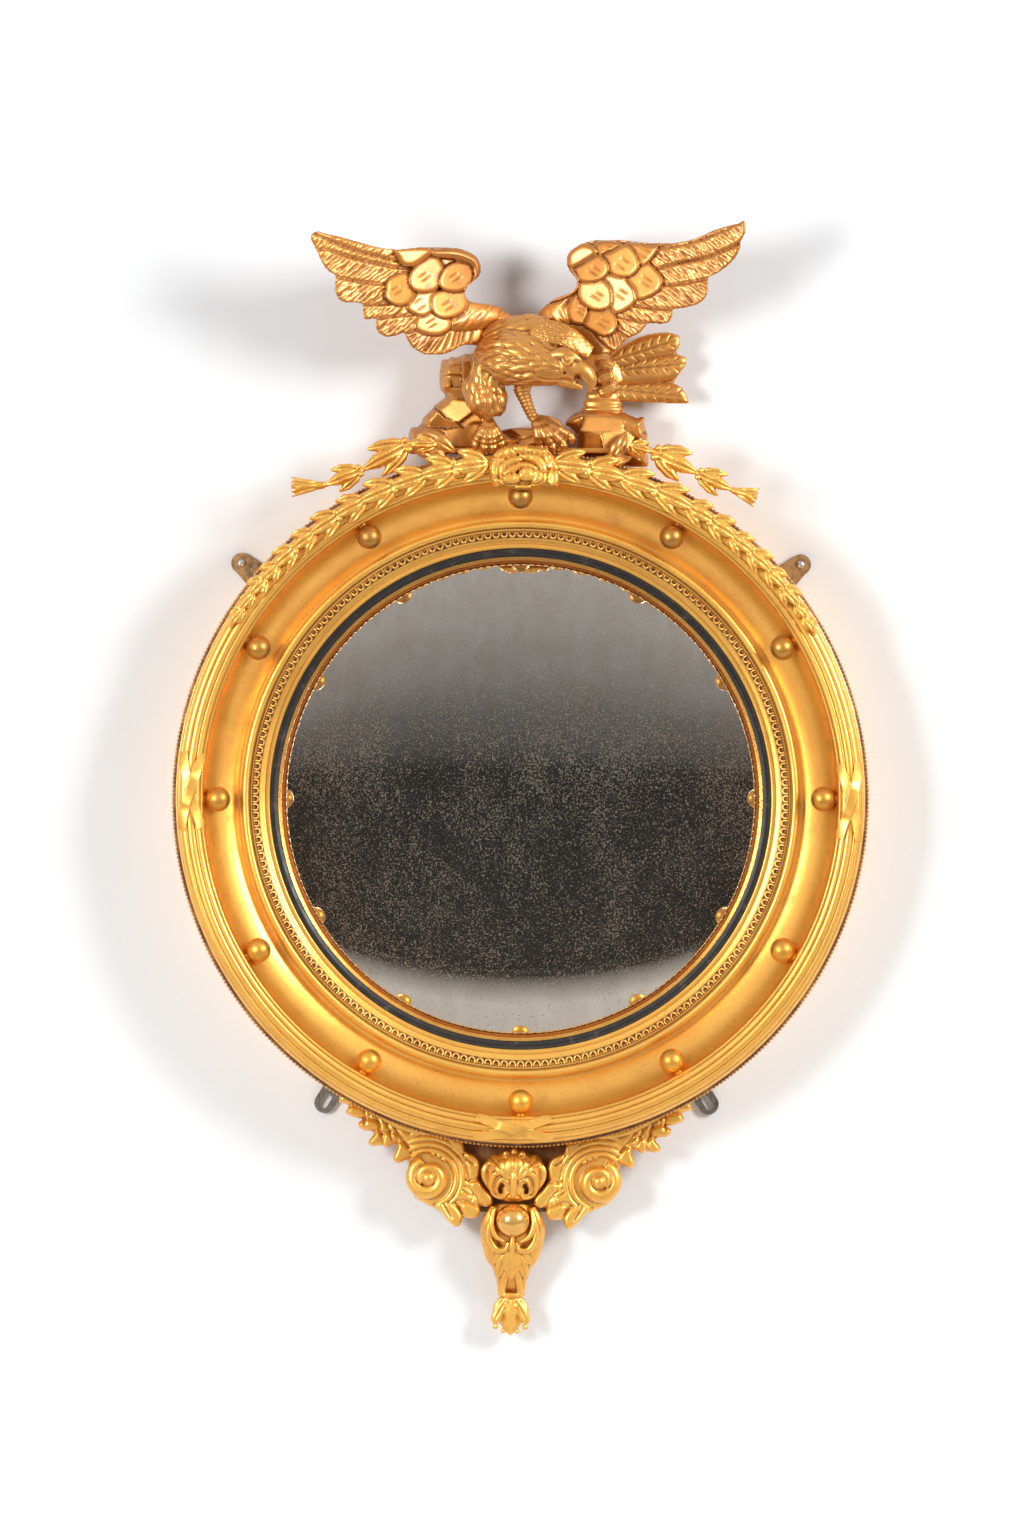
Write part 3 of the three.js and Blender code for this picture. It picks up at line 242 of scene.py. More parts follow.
def smooth_outline(corners, rows=8):
    """A closed smooth outline through corners given as (x, z)."""
    p = np.asarray(corners, dtype=float)
    n = len(p)
    steps = np.arange(n * rows) / rows
    i = steps.astype(int)
    f = (steps - i)[:, None]
    a, b, c, d = p[(i - 1) % n], p[i], p[(i + 1) % n], p[(i + 2) % n]
    return 0.5 * (2 * b + (c - a) * f + (2 * a - 5 * b + 4 * c - d) * f**2 + (3 * b - a - 3 * c + d) * f**3)


# Half-widths along a blade, as shares of its widest, from root to tip
def leaf_form(t):
    return np.sin(np.pi * np.clip(0.1 + 0.9 * t, 0, 1)) ** 0.75


def lobe_form(t):
    return (0.5 + 0.65 * t) * np.sqrt(np.clip(1 - t**4, 0, 1))


def shield_form(t):
    return np.where(t < 0.45, 0.72 + 0.62 * t,
                    np.sqrt(np.clip(1 - (np.maximum(t - 0.45, 0) / 0.55) ** 2.4, 0, 1)))


def petal_form(t):
    return (0.35 + 0.75 * np.sin(np.pi * 0.62 * t)) * np.sqrt(np.clip(1 - t**5, 0, 1))


def blade(shell, points, half, thick, form=leaf_form, facing=FRONT, under=2.0, rib=0.0, vein=0.0,
          groove=0.0, pitch=5.0, lean=1.3, cup=0.0, scallop=0.0, scallops=5, comb=0.0, combs=3, flat=0.3):
    """A leaf, feather or petal: a dense surface with ribs, veins, barbs and a lobed edge.

    rib raises the middle, vein cuts it, groove is the depth of the slanting cuts, comb that of cuts
    along it, cup lifts the edges, scallop is the share by which lobes cut into the width, and flat is
    the height of the edge as a share of the thickness.
    """
    ends = np.array(points, dtype=float)
    length = np.linalg.norm(np.diff(ends, axis=0), axis=1).sum()
    rows = int(np.clip(length / 1.0, 10, 90))
    cols = int(np.clip(half / 0.9, 5, 18))
    place, along = spline(points, rows)
    side = unit(np.cross(along, facing))
    up = np.cross(side, along)
    t = np.linspace(0, 1, rows + 1)
    width = half * form(t)
    if scallop:
        width = width * (1 - scallop * (0.5 - 0.5 * np.cos(2 * np.pi * scallops * t)) * (t < 0.97))
    s = np.linspace(-1, 1, 2 * cols + 1)
    T, S = np.meshgrid(t, s, indexing="ij")
    W = width[:, None]
    share = (form(t) / max(form(t).max(), 1e-6))[:, None] ** 0.6
    crown = 1 - np.abs(S) ** 2.6
    height = thick * share * (flat + (1 - flat) * crown) + cup * share * S**2
    away = np.abs(S) * W
    height += rib * share * np.exp(-((away / 1.3) ** 2))
    height -= vein * share * np.exp(-((away / 1.2) ** 2))
    if groove:
        shift = rng.uniform(0, 1) + 0.2 * np.sin(9 * T + rng.uniform(0, 6))
        phase = (T * length - away * lean) / pitch + shift
        cutting = (0.5 + 0.5 * np.cos(2 * np.pi * phase)) ** 5
        fade = np.clip((away - 1.2) / 1.5, 0, 1) * np.clip(1.15 - np.abs(S), 0, 1)
        height -= groove * cutting * fade * share
    if comb:
        height -= comb * np.abs(np.cos(np.pi * combs * (S + 0.12 * np.sin(5 * T)))) ** 5 * share
    top = place[:, None] + side[:, None] * (S * W)[..., None] + up[:, None] * height[..., None]
    bottom = place[:, None] + side[:, None] * (S * W)[..., None] - up[:, None] * (under * share)[..., None]
    shell.loft(np.concatenate([top, bottom[:, ::-1]], axis=1))


def limb(shell, points, radii, squash=1.0, facing=FRONT, sides=28, bands=0, band=0.0):
    """A round limb along a curve, with raised bands round it."""
    ends = np.array(points, dtype=float)
    length = np.linalg.norm(np.diff(ends, axis=0), axis=1).sum()
    rows = int(np.clip(length / 1.2, 8, 140))
    place, along = spline(points, rows)
    side = unit(np.cross(along, facing))
    up = np.cross(side, along)
    t = np.linspace(0, 1, rows + 1)
    radius = np.interp(t * (len(radii) - 1), np.arange(len(radii)), radii)[:, None]
    a = np.linspace(0, 2 * np.pi, sides, endpoint=False)[None]
    proud = np.zeros((rows + 1, sides))
    if bands:
        proud = proud + band * np.cos(2 * np.pi * bands * t[:, None])
    r = radius + proud
    rings = place[:, None] + side[:, None] * (r * np.cos(a))[..., None]
    rings = rings + up[:, None] * (r * squash * np.sin(a))[..., None]
    shell.loft(rings)


def ball(shell, centre, radius, stretch=(1, 1, 1), rows=12):
    down = np.linspace(0.02, np.pi - 0.02, rows + 1)[:, None]
    a = np.linspace(0, 2 * np.pi, 2 * rows, endpoint=False)[None]
    rings = np.stack([np.sin(down) * np.cos(a), np.sin(down) * np.sin(a), np.cos(down) + 0 * a], -1)
    shell.loft(centre + rings * radius * np.array(stretch))


def relaxed(points, edges, degree):
    """Each point moved to the middle of its neighbours."""
    a, b = edges.T
    total = [np.bincount(a, p[b], len(p)) + np.bincount(b, p[a], len(p)) for p in points.T]
    return np.stack(total, -1) / degree[:, None]


def mark_hollows(piece, near=3, far=22):
    """Stores how deep each vertex lies in its surroundings, in millimetres, at two reaches; the gilding
    darkens the deep ones, as patina and painted shade.
    """
    mesh = piece.data
    points = np.empty(len(mesh.vertices) * 3, dtype=np.float32)
    mesh.vertices.foreach_get("co", points)
    points = points.reshape(-1, 3).astype(float) / MM
    normals = np.empty(len(mesh.vertices) * 3, dtype=np.float32)
    mesh.vertices.foreach_get("normal", normals)
    normals = normals.reshape(-1, 3)
    edges = np.empty(len(mesh.edges) * 2, dtype=np.int32)
    mesh.edges.foreach_get("vertices", edges)
    edges = edges.reshape(-1, 2)
    degree = np.maximum(np.bincount(edges.ravel(), minlength=len(points)), 1)
    moved = points
    for step in range(1, far + 1):
        moved = relaxed(moved, edges, degree)
        if step in (near, far):
            depth = np.einsum("ij,ij->i", moved - points, normals)
            name = "hollow_near" if step == near else "hollow_far"
            mesh.attributes.new(name, "FLOAT", "POINT").data.foreach_set("value", depth.astype(np.float32))


def dent(piece, centre, radius, depth):
    """Presses a round hollow into a piece's front."""
    mesh = piece.data
    points = np.empty(len(mesh.vertices) * 3, dtype=np.float32)
    mesh.vertices.foreach_get("co", points)
    points = points.reshape(-1, 3)
    off = np.hypot(points[:, 0] - centre[0] * MM, points[:, 2] - centre[2] * MM) / (radius * MM)
    near = points[:, 1] < (centre[1] + 14) * MM
    points[:, 1] += depth * MM * np.exp(-(off**4)) * near
    mesh.vertices.foreach_set("co", points.ravel())
    mesh.update()


def carved(shell, name, voxel=0.9, soften=2, dents=()):
    """One closed piece from all the surfaces of a shell, fused, softened and marked."""
    raw = shell.piece(name + "_raw")
    fuse = raw.modifiers.new("fuse", "REMESH")
    fuse.mode = "VOXEL"
    fuse.voxel_size = voxel * MM
    soft = raw.modifiers.new("soften", "SMOOTH")
    soft.factor = 0.5
    soft.iterations = soften
    view = bpy.context.evaluated_depsgraph_get()
    mesh = bpy.data.meshes.new_from_object(raw.evaluated_get(view))
    mesh.name = name
    piece = bpy.data.objects.new(name, mesh)
    bpy.context.scene.collection.objects.link(piece)
    bpy.data.objects.remove(raw)
    for centre, radius, depth in dents:
        dent(piece, centre, radius, depth)
    shade_smooth(piece)
    mark_hollows(piece)
    return piece


def turned(name, profile, facets=360, smooth_angle=40):
    """Turns a closed (radius, depth) profile round the ring's axis."""
    profile = np.asarray(profile, dtype=float)
    n = len(profile)
    a = np.linspace(0, 2 * np.pi, facets, endpoint=False)
    r, depth = profile[:, 0], profile[:, 1]
    points = np.stack([np.outer(np.sin(a), r), -np.tile(depth, (facets, 1)), np.outer(np.cos(a), r)], -1)
    i, j = np.meshgrid(np.arange(facets), np.arange(n), indexing="ij")
    quads = np.stack([i * n + j, ((i + 1) % facets) * n + j, ((i + 1) % facets) * n + (j + 1) % n,
                      i * n + (j + 1) % n], -1)
    piece = new_mesh(name, points.reshape(-1, 3), quads.reshape(-1, 4))
    face_outwards(piece)
    shade_smooth(piece, smooth_angle)
    return piece


def face_outwards(piece):
    work = bmesh.new()
    work.from_mesh(piece.data)
    bmesh.ops.recalc_face_normals(work, faces=work.faces)
    if work.calc_volume(signed=True) < 0:
        bmesh.ops.reverse_faces(work, faces=work.faces)
    work.to_mesh(piece.data)
    work.free()


def arc(centre, radius, start, end, steps):
    """Points (radius, depth) on an arc, with angles in degrees from the outward direction."""
    a = np.radians(np.linspace(start, end, steps + 1))
    return [(centre[0] + radius * math.cos(v), centre[1] + radius * math.sin(v)) for v in a]


def polar(radius, angle):
    """(x, z) at an angle in degrees from the top, clockwise."""
    return radius * math.sin(math.radians(angle)), radius * math.cos(math.radians(angle))


# ---- Materials ------------------------------------------------------------------------------------
class Nodes:
    """A short way to write a node material."""

    def __init__(self, name):
        self.material = bpy.data.materials.new(name)
        self.material.use_nodes = True
        self.tree = self.material.node_tree
        self.tree.nodes.clear()
        self.out = self.node("OutputMaterial")
        self.shader = self.node("BsdfPrincipled")
        self.link(self.shader.outputs[0], self.out.inputs["Surface"])
        self.place = self.node("TexCoord").outputs["Object"]

    def node(self, kind, **settings):
        made = self.tree.nodes.new("ShaderNode" + kind)
        for key, value in settings.items():
            setattr(made, key, value)
        return made

    def link(self, source, target):
        self.tree.links.new(source, target)

    def set(self, target, value):
        if isinstance(value, bpy.types.NodeSocket):
            self.link(value, target)
        else:
            target.default_value = value

    def noise(self, scale, detail=3.0, rough=0.5, stretch=None):
        """Noise with a scale in waves per metre."""
        made = self.node("TexNoise")
        place = self.place
        if stretch:
            shift = self.node("Mapping")
            shift.inputs["Scale"].default_value = stretch
            self.link(self.place, shift.inputs["Vector"])
            place = shift.outputs[0]
        self.link(place, made.inputs["Vector"])
        made.inputs["Scale"].default_value = scale
        made.inputs["Detail"].default_value = detail
        made.inputs["Roughness"].default_value = rough
        return made.outputs["Fac"]

    def specks(self, scale, size):
        """Round specks: 1 inside, 0 outside."""
        made = self.node("TexVoronoi")
        self.link(self.place, made.inputs["Vector"])
        made.inputs["Scale"].default_value = scale
        return self.ramp(made.outputs["Distance"], (size, 1.0), (size * 1.6, 0.0))

    def attribute(self, name):
        return self.node("Attribute", attribute_name=name).outputs["Fac"]

    def ramp(self, source, *stops):
        """Maps a number through (position, value) stops."""
        made = self.node("ValToRGB")
        ramp = made.color_ramp
        while len(ramp.elements) < len(stops):
            ramp.elements.new(0.5)
        for element, (position, value) in zip(ramp.elements, stops):
            element.position = position
            element.color = value if isinstance(value, tuple) else (value, value, value, 1)
        self.link(source, made.inputs["Fac"])
        return made.outputs["Color"]

    def math(self, operation, a, b=0.0, clamp=False):
        made = self.node("Math", operation=operation, use_clamp=clamp)
        self.set(made.inputs[0], a)
        self.set(made.inputs[1], b)
        return made.outputs[0]

    def span(self, source, low, high, to_low=0.0, to_high=1.0):
        made = self.node("MapRange")
        self.link(source, made.inputs["Value"])
        for key, value in zip(("From Min", "From Max", "To Min", "To Max"), (low, high, to_low, to_high)):
            made.inputs[key].default_value = value
        return made.outputs["Result"]

    def mix(self, share, a, b):
        made = self.node("Mix", data_type="RGBA")
        self.set(made.inputs["Factor"], share)
        self.set(made.inputs["A"], a)
        self.set(made.inputs["B"], b)
        return made.outputs["Result"]

    def bump(self, height, distance, strength=1.0, normal=None):
        made = self.node("Bump")
        made.inputs["Distance"].default_value = distance
        made.inputs["Strength"].default_value = strength
        self.link(height, made.inputs["Height"])
        if normal is not None:
            self.link(normal, made.inputs["Normal"])
        return made.outputs["Normal"]

    def finish(self, **sockets):
        for name, value in sockets.items():
            self.set(self.shader.inputs[name.replace("_", " ")], value)
        return self.material


def rgb(red, green, blue):
    return (red, green, blue, 1.0)


def gilding(name, bright, deep, bole, wear=0.5, sheen=0.36, hollows=True, varnish=0.8):
    """Old water gilding: leaf over red-brown bole, turned towards the bole where the carving is deep, as
    patina and painted shade.
    """
    n = Nodes(name)
    broad = n.noise(9, 4, 0.6)
    middle = n.noise(45, 4, 0.65)
    fine = n.noise(420, 3, 0.6)
    leaf = n.mix(n.span(broad, 0.35, 0.65), bright, deep)
    leaf = n.mix(n.span(middle, 0.45, 0.8, 0.0, 0.45), leaf, tuple(0.75 * c for c in deep[:3]) + (1,))
    worn = n.math("MULTIPLY", n.span(middle, 0.6, 0.72), wear)
    wear_patina_and_painted_shade = worn
    # Hollows turn towards the bole: real patina, and painted shade in recesses, creases and between parts.
    if hollows:
        near = n.span(n.attribute("hollow_near"), 0.02, 0.24)
        far = n.span(n.attribute("hollow_far"), 0.05, 1.4)
        wear_patina_and_painted_shade = n.math("MAXIMUM", n.math("MULTIPLY", near, 0.9), n.math("MULTIPLY", far, 0.9))
        wear_patina_and_painted_shade = n.math("MULTIPLY", wear_patina_and_painted_shade, n.span(middle, 0.25, 0.6, 0.65, 1.15), clamp=True)
        wear_patina_and_painted_shade = n.math("MAXIMUM", wear_patina_and_painted_shade, n.math("MULTIPLY", worn, 0.5))
    grain = n.specks(330, 0.13)
    colour = n.mix(wear_patina_and_painted_shade, leaf, bole)
    colour = n.mix(n.math("MULTIPLY", grain, 0.35), colour, tuple(0.5 * c for c in bole[:3]) + (1,))
    rough = n.math("ADD", n.span(middle, 0.3, 0.75, sheen - 0.07, sheen + 0.1),
                   n.math("MULTIPLY", wear_patina_and_painted_shade, 0.22))
    metal = n.span(wear_patina_and_painted_shade, 0.0, 1.0, 0.82, 0.4)
    normal = n.bump(middle, 0.0006, 0.35)
    normal = n.bump(fine, 0.00012, 0.5, normal)
    coat = n.span(wear_patina_and_painted_shade, 0.0, 1.0, varnish, varnish * 0.3)
    return n.finish(Base_Color=colour, Roughness=rough, Metallic=metal, Normal=normal, Coat_Weight=coat,
                    Coat_Roughness=0.22)


GOLD_BRIGHT = rgb(0.93, 0.50, 0.080)
GOLD_DEEP = rgb(0.84, 0.40, 0.055)
BRONZE_BRIGHT = rgb(0.76, 0.35, 0.06)
BRONZE_DEEP = rgb(0.52, 0.195, 0.028)
BOLE = rgb(0.13, 0.038, 0.010)

frame_gold = gilding("frame_gold", GOLD_BRIGHT, GOLD_DEEP, BOLE, wear=0.3)
sight_gold = gilding("sight_gold", rgb(0.86, 0.46, 0.09), rgb(0.74, 0.34, 0.055), BOLE, wear=0.4)
carved_gold = gilding("carved_gold", GOLD_BRIGHT, GOLD_DEEP, BOLE)
crest_gold = gilding("crest_gold", rgb(0.62, 0.25, 0.032), rgb(0.46, 0.16, 0.019), BOLE, sheen=0.42)
body_gold = gilding("body_gold", BRONZE_BRIGHT, BRONZE_DEEP, BOLE)
base_gold = gilding("base_gold", BRONZE_BRIGHT, BRONZE_DEEP, BOLE, hollows=False)


burnished_gold = gilding("burnished_gold", rgb(0.90, 0.50, 0.11), rgb(0.74, 0.36, 0.07), BOLE, wear=0.3,
                         sheen=0.17, hollows=False)


def ball_gold():
    n = Nodes("ball_gold")
    height = n.node("SeparateXYZ")
    n.link(n.place, height.inputs[0])
    # Darker towards the top of the ring.
    rise = n.span(height.outputs["Z"], -0.3, 0.3)
    cloud = n.noise(60, 4, 0.6)
    tone = n.mix(rise, rgb(0.88, 0.44, 0.06), rgb(0.46, 0.22, 0.05))
    tone = n.mix(n.span(cloud, 0.45, 0.7, 0, 0.6), tone, rgb(0.42, 0.17, 0.05))
    normal = n.bump(n.noise(300, 3), 0.0002, 0.4)
    return n.finish(Base_Color=tone, Roughness=n.span(cloud, 0.3, 0.7, 0.30, 0.48), Metallic=0.88,
                    Normal=normal)


def ebony():
    n = Nodes("ebonised")
    streak = n.noise(70, 4, 0.7)
    rub = n.span(streak, 0.56, 0.7)
    colour = n.mix(n.math("MULTIPLY", rub, 0.5), rgb(0.016, 0.013, 0.011), rgb(0.16, 0.13, 0.10))
    return n.finish(Base_Color=colour, Roughness=n.span(streak, 0.3, 0.7, 0.32, 0.55),
                    Normal=n.bump(streak, 0.0003, 0.4))


def foxed_silver():
    """An old mercury mirror: dark and dull, with tan specks where the silvering has gone."""
    n = Nodes("foxed_silver")
    cloud = n.noise(9, 4, 0.6, stretch=(1.5, 1.0, 0.7))
    blotch = n.noise(34, 4, 0.65, stretch=(1.3, 1.0, 0.8))
    height = n.node("SeparateXYZ")
    n.link(n.place, height.inputs[0])
    band = n.math("MULTIPLY", n.span(height.outputs["Z"], 0.16, 0.06),
                  n.span(height.outputs["Z"], -0.21, -0.15))
    crowd = n.math("ADD", n.math("MULTIPLY", cloud, 0.55), n.math("MULTIPLY", blotch, 0.45))
    crowd = n.math("MULTIPLY", n.span(crowd, 0.38, 0.62), band)
    grains = n.noise(560, 3, 0.7)
    level = n.math("ADD", grains, n.math("MULTIPLY", crowd, 0.085))
    lost = n.span(level, 0.625, 0.655)
    tint = n.mix(n.span(blotch, 0.35, 0.7), rgb(0.86, 0.80, 0.72), rgb(0.76, 0.68, 0.58))
    colour = n.mix(n.math("MULTIPLY", lost, 0.9), tint, rgb(0.30, 0.21, 0.12))
    return n.finish(Base_Color=colour, Roughness=n.math("MULTIPLY", lost, 0.6),
                    Metallic=n.span(lost, 0.0, 1.0, 0.93, 0.2))


def pine():
    n = Nodes("pine")
    grain = n.noise(26, 5, 0.6, stretch=(5.0, 1.0, 0.35))
    knots = n.noise(6, 3)
    colour = n.mix(n.span(grain, 0.35, 0.7), rgb(0.36, 0.20, 0.09), rgb(0.20, 0.095, 0.035))
    colour = n.mix(n.span(knots, 0.5, 0.7, 0, 0.6), colour, rgb(0.12, 0.06, 0.025))
    return n.finish(Base_Color=colour, Roughness=0.82, Normal=n.bump(grain, 0.0005, 0.5))


def worn_metal(name, clean, stained, metallic, rough):
    n = Nodes(name)
    cloud = n.noise(120, 4, 0.65)
    scratch = n.noise(500, 3, 0.6, stretch=(0.2, 1, 1))
    colour = n.mix(n.span(cloud, 0.42, 0.66), clean, stained)
    normal = n.bump(scratch, 0.0001, 0.5)
    return n.finish(Base_Color=colour, Roughness=n.span(cloud, 0.3, 0.7, rough - 0.08, rough + 0.12),
                    Metallic=metallic, Normal=normal)


ball_leaf = ball_gold()
ebonised = ebony()
mirror = foxed_silver()
raw_pine = pine()
ear_iron = worn_metal("ear_iron", rgb(0.42, 0.24, 0.10), rgb(0.13, 0.08, 0.05), 0.7, 0.5)
plate_steel = worn_metal("plate_steel", rgb(0.23, 0.21, 0.19), rgb(0.12, 0.10, 0.085), 0.85, 0.42)
screw_steel = worn_metal("screw_steel", rgb(0.62, 0.61, 0.58), rgb(0.35, 0.32, 0.28), 0.95, 0.32)


# ---- Ring -----------------------------------------------------------------------------------------
def cove_profile(steps=28):
    """The hollow that holds the balls: part of a circle, steeper at its outer side."""
    start, end = math.radians(COVE_FLOOR), math.radians(COVE_WALL)
    radius = COVE / (math.cos(end) - math.cos(start))
    centre = (COVE_IN - radius * math.cos(start), RIM_DEPTH - COVE - radius * math.sin(start))
    return arc(centre, radius, COVE_FLOOR, COVE_WALL, steps)


def torus_profile(steps=90, groove=1.9, reeds=5):
    points = []
    for k in range(steps + 1):
        a = math.pi * (1 - k / steps)
        valley = (1 - abs(math.sin(reeds * a)) ** 0.42) if 0 < k < steps else 1
        proud = -groove * valley
        points.append((TORUS_MID + (TORUS_HALF + proud) * math.cos(a),
                       TORUS_FOOT + (TORUS_HEIGHT + proud) * math.sin(a)))
    return points


def ring_profile():
    bed = lambda r: STRIP_BED + STRIP_BED_RISE * (r - STRIP_IN) / (STRIP_OUT - STRIP_IN)
    astragal = STRIP_OUT + 4.6
    back = [(RING - 0.8, 0.0), (BOARD + FIT, 0.0), (BOARD + FIT, BOARD_THICK + FIT),
            (REBATE, BOARD_THICK + FIT), (REBATE, LIP_BACK)]
    lip = [(SIGHT, LIP_BACK), *arc((SIGHT + 1.8, LIP_FRONT - 1.8), 1.8, 180, 90, 6),
           (SIGHT + 4.4, LIP_FRONT)]
    plain = [(SIGHT + 4.6, LIP_FRONT - 0.7), *arc((SIGHT + 4.8, STRIP_BED - 0.6), 9.0, -88, -8, 10)[1:]]
    bead = [(STRIP_OUT + 0.5, bed(STRIP_OUT) + 0.5), *arc((astragal, 55.6), 4.3, 172, 8, 14),
            (astragal + 4.4, 54.4)]
    quirk = [(astragal + 4.8, 50.5), (COVE_IN - 0.6, 48.6)]
    rim = cove_profile()[1:]
    return [*back, *lip, *plain, (STRIP_IN, STRIP_BED), (STRIP_OUT, bed(STRIP_OUT)), *bead, *quirk, *rim,
            *torus_profile()[2:-1], (RING, TORUS_FOOT), (RING, 0.8)]


def hanger_prisms():
    """Rooms for the ears and slotted plates in the ring's back, one gap larger than the plates."""
    work = bmesh.new()
    for name in ("ear_left", "ear_right", "slotted_plate_left", "slotted_plate_right"):
        corners = np.array([v.co for v in frame["nodes"][name].data.vertices]) / MM
        middle = corners.mean(0)
        grown = middle + (corners - middle) * 1.02
        added = []
        for depth in (-2.0, 3.3):
            for x, _, z in grown:
                added.append(work.verts.new((x * MM, -depth * MM, z * MM)))
        bmesh.ops.convex_hull(work, input=added)
    mesh = bpy.data.meshes.new("hanger_rooms")
    work.to_mesh(mesh)
    work.free()
    room = bpy.data.objects.new("hanger_rooms", mesh)
    bpy.context.scene.collection.objects.link(room)
    return room


def cut_away(piece, tool):
    boolean = piece.modifiers.new("rooms", "BOOLEAN")
    boolean.operation = "DIFFERENCE"
    boolean.solver = "EXACT"
    boolean.object = tool
    view = bpy.context.evaluated_depsgraph_get()
    mesh = bpy.data.meshes.new_from_object(piece.evaluated_get(view))
    piece.modifiers.clear()
    piece.data = mesh
    bpy.data.objects.remove(tool)


def painted_reed_shade(r, depth, reeds=5, darkest=0.17):
    """Painted shade on the outer moulding: darkest in the grooves between its reeds."""
    a = np.arctan2((depth - TORUS_FOOT) / TORUS_HEIGHT, (r - TORUS_MID) / TORUS_HALF)
    valley = 1 - np.abs(np.sin(reeds * a)) ** 0.42
    return np.where((np.abs(r - TORUS_MID) < TORUS_HALF + 0.2) & (depth > TORUS_FOOT),
                    darkest * valley**1.3, 0.0)


def main_frame():
    piece = turned("main_frame_gilded", ring_profile(), 384)
    cut_away(piece, hanger_prisms())
    shade_smooth(piece, 40)
    mark_painted_shade(piece, painted_reed_shade)
    return dressed(piece, frame_gold, "frame_gilding", "main_frame")


def round_array(unit_points, unit_quads, unit_tris, angles):
    """Copies a small closed form, made at the top of the ring, round the ring's axis."""
    shell = Shell()
    for angle in np.radians(angles):
        c, s = math.cos(angle), math.sin(angle)
        turn = np.array([[c, 0, s], [0, 1, 0], [-s, 0, c]])
        shell.add(unit_points @ turn.T, unit_quads, unit_tris)
    return shell


def small_unit(make):
    """Points and faces of a form that a function adds to an empty shell."""
    shell = Shell()
    make(shell)
    return np.vstack(shell.points), np.vstack(shell.quads), np.vstack(shell.tris)


def bead_edge():
    low, high = node_box("bead_edge")
    radius, middle = high[0], -(low[1] + high[1]) / 2
    unit_parts = small_unit(lambda s: ball(s, at(0, radius - BEAD_INSET, middle), BEAD_RADIUS, rows=5))
    shell = round_array(*unit_parts, np.arange(BEAD_COUNT) * 360 / BEAD_COUNT)
    strip = [(RING + FIT, middle - 2.2), (RING + 2.4, middle - 1.3), (RING + 2.4, middle + 1.3),
             (RING + FIT, middle + 2.2)]
    band = turned("bead_band", strip, 384)
    piece = shell.piece("bead_edge_gilded")
    shade_smooth(piece)
    joined(piece, band)
    # Painted shade next to the ring's wall, on the band and the beads' inner sides.
    mark_painted_shade(piece, lambda r, depth: np.interp(r, [RING + 2.3, RING + 4.3], [0.3, 0.0]))
    return dressed(piece, sight_gold, "frame_gilding", "bead_edge")


def joined(piece, *others):
    """Adds other pieces' meshes to a piece."""
    work = bmesh.new()
    work.from_mesh(piece.data)
    for other in others:
        work.from_mesh(other.data)
        bpy.data.objects.remove(other)
    work.to_mesh(piece.data)
    work.free()
    shade_smooth(piece, 50)


def mark_painted_shade(piece, darkness):
    """Stores painted shade for a turned piece's hollows, as a function of the distance from the axis and
    the depth.
    """
    mesh = piece.data
    points = np.empty(len(mesh.vertices) * 3, dtype=np.float32)
    mesh.vertices.foreach_get("co", points)
    points = points.reshape(-1, 3) / MM
    values = darkness(np.hypot(points[:, 0], points[:, 2]), -points[:, 1]).astype(np.float32)
    mesh.attributes.new("hollow_near", "FLOAT", "POINT").data.foreach_set("value", values)


def sight_ornament():
    """A strip of small arches, open to the glass, each with a drop in it."""
    inner, outer = STRIP_IN + FIT, STRIP_OUT - FIT
    bed = lambda r: STRIP_BED + FIT + STRIP_BED_RISE * (r - STRIP_IN) / (STRIP_OUT - STRIP_IN)
    half = math.pi * (inner + outer) / 2 / ARCH_COUNT * 0.74

    def arch(shell):
        turn = np.linspace(-0.2 * np.pi, 1.2 * np.pi, 13)
        middle = (inner + outer) / 2 + 0.2
        points = [at(half * math.cos(a), middle - 3.4 * math.sin(a),
                     bed(middle - 3.4 * math.sin(a)) + 1.9) for a in turn]
        limb(shell, points, [1.0, 1.2, 1.35, 1.2, 1.0], sides=8)
        ball(shell, at(0, middle + 1.4, bed(middle) + 1.2), 1.1, stretch=(0.9, 1.2, 1.4), rows=5)

    shell = round_array(*small_unit(arch), np.arange(ARCH_COUNT) * 360 / ARCH_COUNT)
    strip = [(inner, bed(inner)), (outer, bed(outer)), (outer, bed(outer) + 1.9),
             (outer - 1.6, bed(outer) + 1.9), (outer - 1.9, bed(outer) + 0.8),
             (inner + 0.6, bed(inner) + 0.6), (inner, bed(inner) + 0.4)]
    piece = shell.piece("sight_ornament_gilded")
    joined(piece, turned("sight_strip", strip, 384))
    # Painted shade on the low parts, near the bed between the arches.
    mark_painted_shade(piece, lambda r, depth: np.interp(depth - bed(r), [0.9, 2.6], [0.3, 0.0]))
    return dressed(piece, sight_gold, "frame_gilding", "sight_ornament")


# ---- Glass and what holds it ----------------------------------------------------------------------
GLASS_BULGE = GLASS_CREST - GLASS_RIM_DEPTH
GLASS_CURVE = (GLASS**2 + GLASS_BULGE**2) / (2 * GLASS_BULGE)


def glass_depth(r):
    return GLASS_RIM_DEPTH + math.sqrt(GLASS_CURVE**2 - r**2) - (GLASS_CURVE - GLASS_BULGE)


def mirror_glass():
    facets, steps = 256, 64
    radii = np.linspace(0, GLASS, steps + 1)[1:]
    front = [(r, glass_depth(r)) for r in radii]
    back = [(r, glass_depth(r) - GLASS_THICK) for r in radii[::-4]]
    profile = np.array(front + back)
    a = np.linspace(0, 2 * np.pi, facets, endpoint=False)
    rings = np.stack([np.outer(profile[:, 0], np.sin(a)), -np.tile(profile[:, 1][:, None], (1, facets)),
                      np.outer(profile[:, 0], np.cos(a))], -1)
    shell = Shell()
    shell.loft(rings)
    shell.points[0][-2] = at(0, 0, GLASS_CREST)
    shell.points[0][-1] = at(0, 0, GLASS_CREST - GLASS_THICK)
    piece = shell.piece("mirror_silvered")
    face_outwards(piece)
    shade_smooth(piece, 50)
    return dressed(piece, mirror, "mirror", "mirror_glass")


